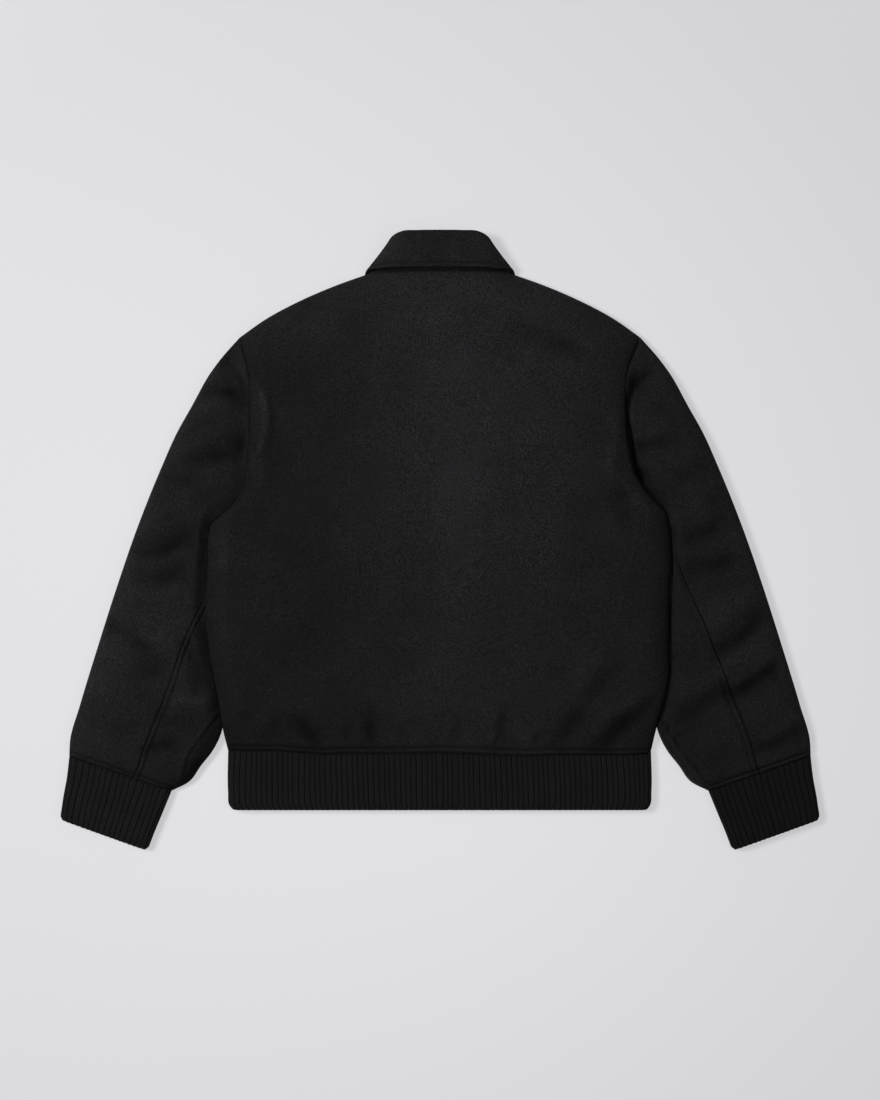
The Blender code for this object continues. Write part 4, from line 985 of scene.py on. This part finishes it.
def build_sleeve(side, material):
    seam_at = seam_function(side)
    upper, lower = sleeve_layer(side, True, True, seam_at), sleeve_layer(side, False, True)
    plain_up, plain_low = sleeve_layer(side, True, False), sleeve_layer(side, False, False)
    patch = sleeve_patch(side)
    armhole = np.linspace(0, UNDERARM_AT, 40)
    on = np.arange(UNDERARM_AT + 0.0015, 1 - 14 / SLEEVE_LONG, FINE / 1.33 / SLEEVE_LONG)
    rows = np.r_[armhole, on, 1 - np.arange(12.8, 0, -0.8) / SLEEVE_LONG, 1 - GAP / 2 / SLEEVE_LONG]
    late = rows > UNDERARM_AT
    seam = np.where(late, seam_at(rows), 1.0)
    width = widths(patch, rows)
    apart = 0.5 * GAP / 0.85 / width
    inner_out = outward(lambda t: patch(np.ones_like(t), t), rows, 1)
    share_at_hole = ARMHOLE_TURN * (1 - rows / UNDERARM_AT)
    turn = np.array((flipped(side), 1, 1))

    # The under sleeve: from the hind-arm seam to the inner fold.
    a = (seam + apart)[late, None]
    across = (1 - a) * width[late, None]
    near_seam = np.array((0, 0.7, 1.6, 2.7, 3.9, 5.0, 5.7, 6.3, 6.9, 7.7, 9.0))
    head = near_seam / np.where(across > 22, across, 60)
    tail = head[:, -1:] + (1 - head[:, -1:]) * np.linspace(0, 1, 26)[1:]
    s = a + (1 - a) * np.concatenate([head, tail], axis=1)
    r = np.broadcast_to(rows[late, None], s.shape)
    outer, base = upper(s, r), plain_up(s, r)
    facing = normals(plain_up, s, r, 1)
    facing[:, -1] = inner_out[late]
    for points in (outer, base):
        points[:, -1, 2] += GAP / 2
    rows_in, columns_in = thinned(outer.shape[0], 4), thinned(outer.shape[1], 4)
    inner = (kept_inside(base - CLOTH * facing, outer, facing) * turn)[rows_in][:, columns_in]
    tone = sleeve_painted_light(side, outer, s, r, seam[late, None])
    under = thin_shell("jacket_under_sleeve_" + side, outer * turn, inner, material, tone=tone)

    # The top sleeve: from the hind-arm seam round the outer fold and across below to the inner fold.
    b = np.where(late, seam - apart, 1.0)[:, None]
    flat = np.r_[1 - np.arange(0, 6, 0.8) / SLEEVE_WIDE, np.linspace(1 - 6.4 / SLEEVE_WIDE, 0.06, 76)]
    s_up = np.maximum(b * np.r_[flat, 0.06 - edge_steps(0.06, 8)[1:]], 0)
    r_up = np.broadcast_to(rows[:, None], s_up.shape)
    corner = edge_steps(SIDE_Z, 7)[1:]
    start = edge_steps(0.06, 7)[1:]
    from_outer = np.broadcast_to(np.r_[start, np.linspace(0.06, 0.9, 34)[1:]], (len(rows), 39))
    last = 1 - corner[::-1] / width[:, None]
    fold = np.ones((len(rows), 1))
    s_low = np.concatenate([np.minimum(from_outer, last[:, :1] - 0.004), last, fold], axis=1)
    r_low = np.broadcast_to(rows[:, None], s_low.shape)
    above, below = upper(s_up, r_up), lower(s_low, r_low)
    base_up, base_low = plain_up(s_up, r_up), plain_low(s_low, r_low)
    up_facing, low_facing = normals(plain_up, s_up, r_up, 1), normals(plain_low, s_low, r_low, -1)
    up_facing[:, -1] = outward(lambda t: patch(np.zeros_like(t), t), rows, -1)
    up_facing[:, 0] = np.where(late[:, None], up_facing[:, 0], armhole_facing(share_at_hole, True, True))
    low_facing[:, -1] = np.where(late[:, None], inner_out, armhole_facing(share_at_hole, True, False))
    up_facing[0] = armhole_facing(1 - s_up[0] * (1 - ARMHOLE_TURN), True, True)
    low_facing[0] = armhole_facing(1 - s_low[0] * (1 - ARMHOLE_TURN), True, False)
    for points in (below, base_low):
        points[:, -1, 2] -= GAP / 2 * (points[:, -1, 2] > 2)
    for points in (above, base_up):
        points[:, 0, 2] += GAP / 2 * ~late
    outer = np.concatenate([above, below], axis=1)
    base = np.concatenate([base_up, base_low], axis=1)
    facing = np.concatenate([up_facing, low_facing], axis=1)
    first_late = np.nonzero(late)[0][0]
    rows_in = np.unique(np.r_[thinned(len(rows), 4), first_late, first_late - 1])
    inner = (kept_inside(base - CLOTH * facing, outer, facing) * turn)[rows_in][:, thinned(outer.shape[1], 4)]
    tone = np.concatenate([sleeve_painted_light(side, above, s_up, r_up, b), np.full(s_low.shape, 0.7)], axis=1)
    top = thin_shell("jacket_top_sleeve_" + side, outer * turn, inner, material, tone=tone)
    return top, under


# The rib knit


def flat_tube(width, height, count):
    """Half of a flattened tube's ring, from fold to fold: evenly spaced (along, rise), facing and length."""
    across = width * (1 - np.cos(np.pi * np.linspace(0, 1, 1601))) / 2
    middle = height / 2
    rise = middle * dome(across / 9) * dome((width - across) / 9)
    length = np.r_[0, np.cumsum(np.hypot(np.diff(across), np.diff(rise)))]
    at = np.linspace(0, length[-1], count)
    x, z = np.interp(at, length, across), np.interp(at, length, rise)
    slope = np.gradient(z, x + 1e-9 * at)
    facing = unit(np.stack([-slope, np.ones_like(slope)], axis=-1))
    return x, z, facing, at


def rib_profile(phase):
    """How far below its crest a rib is: rounded crests, narrow valleys."""
    crest = abs(2 * (phase % 1.0) - 1)
    return RIB_DEPTH * (1 - np.sqrt(np.maximum(1 - crest**3.2, 0)))


def rib_ring(width, height, rib_count, lap):
    """One fine ring as (along, z, cloth place). With a lap it starts and ends at the centre front, below."""
    count = rib_count * PER_RIB + 1
    x, rise, facing, at = flat_tube(width, height, count)
    middle = height / 2
    place = np.linspace(0, rib_count, count) + 0.16 * wander(x, np.zeros(count), 9, 71)
    depth = rib_profile(place) * (1 + 0.3 * wander(x, np.zeros(count), 7, 77))
    up_x, up_z = x - depth * facing[:, 0], middle + rise - depth * facing[:, 1]
    low_x, low_z = up_x[::-1], (middle - rise + depth * facing[:, 1])[::-1]
    if not lap:
        along = np.r_[up_x, low_x[1:-1]]
        z = np.r_[up_z, low_z[1:-1]]
        return along, z, np.r_[place, 2 * rib_count - place[::-1][1:-1]]
    centre = width / 2
    share = (at / at[-1])[::-1]
    left, right = share < 0.5 - (LAP + 1.5) / HEM_WIDE, share > 0.5 + 36 / HEM_WIDE
    step = np.linspace(34, -LAP, 8 * PER_RIB + 1)[1:]
    lifted = LAP_LIFT * smooth((32 - step) / 13) + rib_profile(step / RIB)
    under = np.linspace(LAP, -LAP, 5 * PER_RIB + 1)[:-1]
    along = np.r_[centre + under, low_x[left], up_x[1:], low_x[right][1:], centre + step]
    z = np.r_[rib_profile(under / RIB), low_z[left], up_z[1:], low_z[right][1:], lifted]
    low = place[::-1]
    return along, z, np.r_[under / RIB, low[left], place[1:], low[right][1:], step / RIB]


def plain_ring(width, height, count, lap):
    """One coarse ring inside the ribs."""
    across = width * (1 - np.cos(np.pi * np.linspace(0, 1, count))) / 2
    across = KNIT + (width - 2 * KNIT) * across / width
    half = height / 2 - 0.3 - KNIT
    rise = half * dome((across - KNIT) / 6) * dome((width - KNIT - across) / 6)
    middle = height / 2 - 0.3
    if not lap:
        return np.r_[across, across[::-1][1:-1]], np.r_[middle + rise, (height / 2 - rise)[::-1][1:-1]]
    centre, floor = width / 2, height / 2 - half
    low_x, low_z = across[::-1], (height / 2 - rise)[::-1]
    share = low_x / width
    left, right = share < 0.5 - 40 / HEM_WIDE, share > 0.5 + 40 / HEM_WIDE
    step = np.array((32.0, 28.0, 25.0, 22.0, 19.0, 0.0, -LAP))
    lifted = floor + LAP_LIFT * smooth((32 - step) / 13)
    along = np.r_[centre + LAP, centre - LAP, low_x[left], across[1:], low_x[right][1:], centre + step]
    return along, np.r_[floor, floor, low_z[left], (middle + rise)[1:], low_z[right][1:], lifted]


def build_rib(name, first, last, heights, rib_count, turn, material, long, lap=False, level=1.0):
    """A ribbed tube between two curves, first and last, each a function of the share from seam to end."""

    def sag(points, along, z):
        """Lowers the upper side of a ring by the sag of the hem seam."""
        if lap:
            d_side = np.minimum(along, width - along)
            points[:, 1] -= hem_drop(points[:, 0], d_side, share * long) * smooth((z - height / 2) / 2)

    shares = np.r_[0, 0.012, 0.03, np.linspace(0.05, 0.95, 30), 0.965, 0.98, 0.992, 1]
    outer, places, tones = [], [], []
    for share in shares:
        height = np.interp(share, (0, 0.9, 1), heights)
        a, b = first(share), last(share)
        radius = 2.0 if lap else 6.0
        corner = (b - a) / np.linalg.norm(b - a) * radius * (1 - dome((1 - share) * long / radius))
        a, b = a + corner, b - corner
        width = np.linalg.norm(b - a)
        squeeze = 0.9 * bell(share * long, 1.6) + 0.5 * smooth((share - 0.965) / 0.035)
        along, z, place = rib_ring(width, height, rib_count, lap)
        sway = 0.8 * wander(along, np.full_like(along, share * long), 34, 5) * np.sin(np.pi * share)
        sway = sway + 3.4 * wander(along, np.zeros_like(along), 70, 8) * share
        sway = sway * smooth(along / 20) * smooth((width - along) / 20)
        z = height / 2 + (z - height / 2) * (1 - squeeze / (height / 2)) if not lap else z - squeeze * (z > 4)
        points = a + (b - a) * ((along + sway) / width)[:, None]
        sag(points, along, z)
        scallop = 0.8 * (1 - abs(np.sin(np.pi * place))) * smooth((share - 0.9) / 0.1)
        points = points - unit(last(1.0) - last(0.9)) * scallop[:, None]
        outer.append(np.c_[points, np.maximum(z, 0)])
        # Painted light and shade: level sets how lit the whole rib is painted, with a little random
        # unevenness.
        lit = level * (1 + 0.08 * wander(along, np.full_like(along, share * long), 17, 63))
        # Painted shade in the seam at the start of the rib.
        tones.append(np.clip(lit - 0.25 * bell(share * long, 2.2), 0.2, 1.5))
        places.append(np.c_[place * RIB, np.full_like(place, share * long)])
    inner = []
    for share in (0.0, 0.33, 0.66, 1.0):
        height = np.interp(share, (0, 0.9, 1), heights)
        a, b = first(share), last(share)
        width = np.linalg.norm(b - a)
        along, z = plain_ring(width, height, rib_count + 1, lap)
        points = a + (b - a) * (along / width)[:, None]
        sag(points, along, z)
        inner.append(np.c_[points, z])
    outer, inner = np.array(outer) * np.array(turn), np.array(inner) * np.array(turn)
    return thin_shell(name, outer, inner, material, closed=not lap, uv=np.array(places), tone=np.array(tones))


def build_hem(material):
    start = HEM_Y - GAP / 2
    left = spline(((-254, start), (-254, -300), (-252.5, -316), (-248, HEM_END_Y)))
    right = spline(((253, start), (253.5, -300), (252, -316), (248, HEM_END_Y)))
    heights, turn = (12.4, 13.6, 12.6), (1, 1, 1)
    return build_rib("jacket_hem_rib", left, right, heights, HEM_RIBS, turn, material, HEM_LONG, True)


def build_cuff(side, material):
    outer, inner = spline(CUFF_OUTER), spline(CUFF_INNER)
    step = GAP / 2 / CUFF_LONG
    first = lambda t: outer(step + t * (1 - step))
    last = lambda t: inner(step + t * (1 - step))
    turn = (flipped(side), 1, 1)
    name = "jacket_cuff_" + side
    # Painted shade: the right cuff is painted darker than the left one.
    level = 1.0 if side == "left" else 0.72
    return build_rib(name, first, last, (12.4, 13.2, 12.4), CUFF_RIBS, turn, material, CUFF_LONG, level=level)


# The collar


def collar_sections(shares, steps):
    """Middle of the collar's wall and the way out of it, by the share of the way round and the step up."""
    table = np.array(COLLAR_LINES, float)
    value = through(table[:, 0], table[:, 1:])(abs(shares))
    front = front_neck()
    neck = joined(spline(NECK_BACK[::-1]), lambda t: front(t / 0.97 * 0.88))(abs(shares))
    seam = np.concatenate([neck, value[:, :1]], axis=1)
    fold, edge, out = value[:, 1:4], value[:, 4:7], unit(value[:, 7:10])
    half_loop = COLLAR / 2 + 0.4
    stand = fold - seam
    along = unit(stand - (stand * out).sum(axis=-1, keepdims=True) * out)
    seam = seam + 1.0 * along
    middle, facing = [], []
    for step in steps:
        if step <= 1:
            middle.append(seam + (fold - half_loop * out - seam) * step)
            facing.append(-out)
        elif step < 2:
            turn = (step - 1) * np.pi
            ray = np.sin(turn) * along - np.cos(turn) * out
            middle.append(fold + half_loop * ray)
            facing.append(ray)
        else:
            middle.append(fold + half_loop * out + (edge - fold - half_loop * out) * (step - 2))
            facing.append(out)
    middle, facing = np.stack(middle, axis=1), np.stack(facing, axis=1)
    mirror = np.where(shares < 0, -1.0, 1.0)[:, None]
    middle[..., 0] *= mirror
    facing[..., 0] *= mirror
    return middle, facing


def build_collar(material):
    shares = np.r_[np.linspace(-COLLAR_END, 0, 150)[:-1], np.linspace(0, COLLAR_END, 150)]
    steps = np.r_[np.linspace(0, 1, 12)[:-1], np.linspace(1, 2, 12)[:-1], np.linspace(2, 3, 34)]
    middle, facing = collar_sections(shares, steps)
    fall = np.linalg.norm(middle[:, -1] - middle[:, 22], axis=-1)
    from_edge = np.where(steps >= 2, 3 - steps, 9)[None, :] * fall[:, None]
    from_end = (COLLAR_END - abs(shares))[:, None] * COLLAR_ROUND
    near = np.minimum(from_edge, from_end)
    half = COLLAR / 2 * np.sqrt(np.clip(1 - (1 - np.minimum(near / 1.4, 1)) ** 2 * 0.75, 0.2, 1))
    groove = 0.75 * bell(near - COLLAR_STITCH, 0.9) * (steps >= 2)[None, :]
    above = middle + facing * (half - groove)[..., None]
    below = middle - facing * half[..., None]
    rows_in, columns_in = thinned(len(shares), 2), thinned(len(steps), 2)
    x, y = above[..., 0], above[..., 1]
    # Painted light and shade on the collar: lighter away from the centre back and towards the fold, painted
    # shade in the groove of its topstitching and a painted highlight on the welt by its edge, with a little
    # random unevenness.
    tone = 0.74 + 0.30 * smooth((abs(x) - 30) / 40) * smooth((y - 325) / 30) + 0.06 * wander(x, y, 22, 83)
    tone = tone - 0.42 * bell(near - COLLAR_STITCH, 1.1) + 0.10 * bell(near - 3, 2)
    return thin_shell("jacket_collar", above, below[rows_in][:, columns_in], material, tone=tone)


# The sewing


def stitches(name, line, facing, material):
    """Short threads along a line of points, each lying in the cloth and bent down at its ends."""
    at = lengths(line)
    points, faces = [], []
    sides = np.arange(6) * np.pi / 3
    for start in np.arange(STITCH_PITCH / 2, at[-1] - STITCH_PITCH, STITCH_PITCH):
        ring_at = start + STITCH_LONG * np.array((0.0, 0.22, 0.5, 0.78, 1.0))
        middle = np.stack([np.interp(ring_at, at, line[:, k]) for k in range(3)], axis=-1)
        up = unit(np.array([np.interp(start + STITCH_LONG / 2, at, facing[:, k]) for k in range(3)]))
        way = unit(middle[-1] - middle[0])
        across = np.cross(way, up)
        radius = THREAD / 2 * np.array((0.45, 0.95, 1.0, 0.95, 0.45))
        sink = np.array((-0.28, 0.02, 0.1, 0.02, -0.28))
        base = len(points)
        for centre, r, rise in zip(middle, radius, sink):
            for angle in sides:
                points.append(centre + up * (rise + r * np.sin(angle)) + across * r * np.cos(angle))
        for ring in range(base, base + 24, 6):
            for i in range(6):
                j = (i + 1) % 6
                faces.append((ring + i, ring + j, ring + 6 + j, ring + 6 + i))
        faces.append(tuple(range(base + 5, base - 1, -1)))
        faces.append(tuple(range(base + 24, base + 30)))
    return make(name, points, faces, material)


def sew_all(thread):
    """Topstitching round the hem and cuffs, down the hind-arm seams and along the collar's edge."""
    made = []

    def sew(name, layer, s, r, side, turn=np.array((1, 1, 1))):
        """Stitches along s and r on a layer whose side is 1 where it faces up and -1 where it faces down."""
        s, r = np.broadcast_arrays(s, r)
        line, facing = layer(s, r) * turn, normals(layer, s, r, side) * turn
        made.append(stitches("stitching_" + name, line, facing, thread))

    hem_at, cuff_at = STITCH / CENTRE_LONG, 1 - STITCH / SLEEVE_LONG
    sew("hem_back", back_layer(True), np.linspace(0.006, 0.994, 400), hem_at, 1)
    for side in ("left", "right"):
        turn = np.array((flipped(side), 1, 1))
        sew("hem_front_" + side, front_layer(side, True), np.linspace(0.03, 1, 200), hem_at, -1, turn)
        seam_at = seam_function(side)
        upper = sleeve_layer(side, True, True, seam_at)
        run = np.linspace(0.03, 0.97, 160)
        sew("cuff_top_" + side, upper, run, cuff_at, 1, turn)
        sew("cuff_under_" + side, sleeve_layer(side, False, True), run, cuff_at, -1, turn)
        r = np.linspace(UNDERARM_AT + 0.06, 1 - 8 / SLEEVE_LONG, 300)
        width = widths(sleeve_patch(side), r)
        s = seam_at(r) + SEAM_STITCH / (0.92 * width)
        keep = s < 1 - 4 / width
        sew("hind_arm_" + side, upper, s[keep], r[keep], 1, turn)
    shares = np.linspace(-0.965, 0.965, 500)
    middle, facing = collar_sections(shares, np.array((2.0, 3.0)))
    fall = np.linalg.norm(middle[:, 1] - middle[:, 0], axis=-1, keepdims=True)
    line = middle[:, 1] + (middle[:, 0] - middle[:, 1]) * COLLAR_STITCH / fall
    made.append(stitches("stitching_collar", line + facing[:, 1] * (COLLAR / 2 - 0.35), facing[:, 1], thread))
    return made


# Materials


class Nodes:
    """A few short words for building a material's nodes."""

    def __init__(self, name):
        self.material = bpy.data.materials.new(name)
        self.material.use_nodes = True
        self.tree = self.material.node_tree
        self.shader = self.tree.nodes["Principled BSDF"]
        self.place = self.tree.nodes.new("ShaderNodeTexCoord")

    def link(self, out, into):
        if isinstance(out, bpy.types.NodeSocket):
            self.tree.links.new(out, into)
        else:
            into.default_value = out

    def fixed(self, **values):
        """Sets sockets of the shader. "_" stands for the space in a socket's name, here and in node."""
        for name, value in values.items():
            self.link(value, self.shader.inputs[name.replace("_", " ")])

    def node(self, kind, operation=None, **values):
        made = self.tree.nodes.new("ShaderNode" + kind)
        if operation:
            made.operation = operation
        for name, value in values.items():
            self.link(value, made.inputs[name.replace("_", " ")])
        return made

    def noise(self, scale, detail=2.0, rough=0.5, stretch=None):
        node = self.node("TexNoise", Scale=scale, Detail=detail, Roughness=rough)
        place = self.place.outputs["Object"]
        if stretch:
            place = self.node("Mapping", Scale=stretch, Vector=place).outputs["Vector"]
        self.link(place, node.inputs["Vector"])
        return node.outputs["Fac"]

    def math(self, operation, a, b=0.0):
        node = self.node("Math", operation)
        self.link(a, node.inputs[0])
        self.link(b, node.inputs[1])
        return node.outputs[0]

    def times(self, a, b):
        return self.math("MULTIPLY", a, b)

    def ramp(self, fac, low, high, a, b):
        """a to b as fac goes from low to high."""
        node = self.node("MapRange", Value=fac, From_Min=low, From_Max=high, To_Min=a, To_Max=b)
        return node.outputs["Result"]

    def mix(self, fac, a, b):
        node = self.node("Mix")
        node.data_type = "RGBA"
        self.link(fac, node.inputs["Factor"])
        self.link(a, node.inputs[6])
        self.link(b, node.inputs[7])
        return node.outputs[2]

    def attribute(self, name):
        node = self.node("Attribute")
        node.attribute_name = name
        return node.outputs["Fac"]

    def scaled(self, colour, by):
        node = self.node("VectorMath", "SCALE", Scale=by)
        self.link(colour, node.inputs[0])
        return node.outputs["Vector"]

    def bump(self, height, strength, distance, under=None):
        node = self.node("Bump", Strength=strength, Distance=distance, Height=height)
        if under is not None:
            self.link(under, node.inputs["Normal"])
        return node.outputs["Normal"]


def wool_cloth(name, colour):
    """Felted wool: fine nap, flecks of lighter fibre and a soft unevenness of tone, times the painted light
    and shade of the tone attribute.
    """
    n = Nodes(name)
    grain = n.noise(760, 2.0, 0.85)
    fibre = n.noise(430, 2.0, 0.6, stretch=(1.0, 0.45, 1.0))
    drift = n.noise(24, 3.0, 0.55)
    fleck = n.ramp(n.noise(900, 1.0, 0.5), 0.62, 0.80, 0.0, 1.0)
    level = n.ramp(grain, 0.34, 0.66, 0.0, 2.0)
    level = n.times(level, n.ramp(fibre, 0.25, 0.75, 0.75, 1.25))
    level = n.times(level, n.ramp(drift, 0.25, 0.75, 0.86, 1.14))
    level = n.math("ADD", level, n.times(fleck, 0.9))
    # Painted light and shade: the colour is scaled by the tone attribute.
    level = n.times(level, n.attribute("tone"))
    n.fixed(Base_Color=n.scaled(colour, level), Roughness=n.ramp(grain, 0.3, 0.7, 0.84, 0.97))
    n.fixed(Specular_IOR_Level=0.10, Sheen_Weight=0.012, Sheen_Roughness=0.5, Sheen_Tint=(0.86, 0.9, 1.0, 1))
    low = n.bump(fibre, 0.5, 0.0008)
    n.fixed(Normal=n.bump(grain, 0.8, 0.0006, low))
    return n.material


def rib_knit(name, dark, light):
    """Rib knit: columns of small V stitches along each rib, fuzzy, with painted shade down in the valleys."""
    n = Nodes(name)
    apart = n.node("SeparateXYZ", Vector=n.place.outputs["UV"])
    across, along = apart.outputs["X"], apart.outputs["Y"]
    wale = n.math("FRACT", n.times(across, 1 / (2 * 0.00155)))
    slant = n.math("ABSOLUTE", n.math("SUBTRACT", wale, 0.5))
    row = n.math("ADD", n.times(along, 1 / 0.0024), n.times(slant, 1.3))
    loop = n.math("ABSOLUTE", n.math("SUBTRACT", n.math("FRACT", row), 0.5))
    edge = n.math("SUBTRACT", 1.0, n.math("POWER", n.times(slant, 2.0), 3.0))
    height = n.times(n.ramp(loop, 0.0, 0.5, 0.0, 1.0), edge)
    rib = n.math("ABSOLUTE", n.math("SUBTRACT", n.math("FRACT", n.times(across, 1 / 0.0062)), 0.5))
    # Painted shade: the valleys take the dark colour.
    crest = n.ramp(rib, 0.5, 0.30, 0.0, 1.0)
    grain = n.noise(1500, 2.0, 0.6)
    tone = n.math("ADD", n.times(height, 0.4), n.times(grain, 0.6))
    # Painted light and shade: the random unevenness is scaled by the tone attribute.
    uneven = n.times(n.ramp(n.noise(800, 4.0, 0.85), 0.33, 0.67, 0.25, 1.75), n.attribute("tone"))
    colour = n.scaled(n.mix(n.times(tone, crest), (*dark, 1), (*light, 1)), uneven)
    n.fixed(Base_Color=colour, Roughness=n.ramp(grain, 0.3, 0.7, 0.86, 0.98))
    n.fixed(Specular_IOR_Level=0.10, Sheen_Weight=0.012, Sheen_Roughness=0.5)
    low = n.bump(height, 0.8, 0.0006)
    n.fixed(Normal=n.bump(grain, 0.5, 0.0003, low))
    return n.material


def thread_material():
    n = Nodes("sewing_thread")
    twist = n.noise(2500, 1.0)
    colour = n.mix(twist, (0.004, 0.004, 0.0045, 1), (0.012, 0.012, 0.013, 1))
    n.fixed(Base_Color=colour, Roughness=0.7, Specular_IOR_Level=0.2)
    return n.material


def glowing_paper_material():
    n = Nodes("studio_paper_painted_glow")
    tone = n.mix(n.noise(1.3, 2.0), (0.25, 0.247, 0.262, 1), (0.26, 0.257, 0.272, 1))
    away = n.node("VectorMath", "DISTANCE")
    n.link(n.place.outputs["Object"], away.inputs[0])
    n.link((0.0, -0.15, 0.0), away.inputs[1])
    # Painted light: the floor glows by itself, strongest near the middle and weaker further out.
    glow = n.ramp(away.outputs["Value"], 0.2, 0.85, 0.53, 0.45)
    n.fixed(Base_Color=tone, Roughness=0.9, Specular_IOR_Level=0.1)
    n.fixed(Emission_Color=(0.985, 0.975, 1.0, 1), Emission_Strength=glow)
    return n.material


# The studio

CAMERA_HIGH = 3.0  # metres above the floor
CAMERA_Y = -0.0108
SEEN_LONG = 1.32  # metres of floor that the picture's long side shows
SENSOR = 36.0
FLOOR_HALF = 6.0
FLOOR_Z = -0.0004


def light_up():
    world = bpy.data.worlds.new("studio_air")
    bpy.context.scene.world = world
    world.use_nodes = True
    sky = world.node_tree.nodes["Background"]
    sky.inputs["Color"].default_value = (0.985, 0.985, 1.0, 1)
    sky.inputs["Strength"].default_value = 0.22
    for name, place, size, watts, colour in (
        ("key", (-2.25, 0.6, 2.6), 1.3, 112, (1.0, 0.995, 0.985)),
        ("fill", (2.0, -0.6, 2.6), 2.2, 12, (0.95, 0.97, 1.0)),
    ):
        lamp = bpy.data.lights.new(name, "AREA")
        lamp.shape = "DISK"
        lamp.size = size
        lamp.energy = watts
        lamp.color = colour
        holder = placed(name, lamp)
        holder.location = place
        x, y, z = place
        holder.rotation_euler = (float(np.arctan2(np.hypot(x, y), z)), 0.0, float(np.arctan2(x, -y)))


def set_camera():
    camera = bpy.data.cameras.new("above")
    camera.sensor_fit = "AUTO"
    camera.sensor_width = SENSOR
    camera.lens = SENSOR * CAMERA_HIGH / SEEN_LONG
    holder = placed("above", camera)
    holder.location = (0.0, CAMERA_Y, CAMERA_HIGH)
    bpy.context.scene.camera = holder


def lay_floor(material):
    mesh = bpy.data.meshes.new("floor")
    corners = [(i * FLOOR_HALF, j * FLOOR_HALF, FLOOR_Z) for i, j in ((-1, -1), (1, -1), (1, 1), (-1, 1))]
    mesh.from_pydata(corners, [], [(0, 1, 2, 3)])
    mesh.materials.append(material)
    floor = placed("floor", mesh)


def stands_for(piece, node):
    """Hides the piece's imported solid, named by node, and hangs the piece on the root."""
    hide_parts(node)
    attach(piece, "root")


def main():
    set_camera()
    bpy.context.scene.view_settings.view_transform = "Standard"
    wool = wool_cloth("black_wool", (0.0125, 0.0129, 0.0138))
    # The first, darker colour is painted shade in the rib valleys.
    knit = rib_knit("black_rib_knit", (0.0012, 0.0012, 0.0014), (0.0150, 0.0150, 0.0156))
    thread = thread_material()
    sides = ("left", "right")
    back = build_back(wool)
    stands_for(back, "back")
    for side in sides:
        front = build_front(side, wool)
        stands_for(front, "front_" + side)
        top, under = build_sleeve(side, wool)
        stands_for(top, "top_sleeve_" + side)
        stands_for(under, "under_sleeve_" + side)
        cuff = build_cuff(side, knit)
        stands_for(cuff, "cuff_" + side)
    collar = build_collar(wool)
    stands_for(collar, "collar")
    hem = build_hem(knit)
    stands_for(hem, "hem_rib")
    for threads in sew_all(thread):
        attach(threads, "root")
    lay_floor(glowing_paper_material())
    light_up()


main()
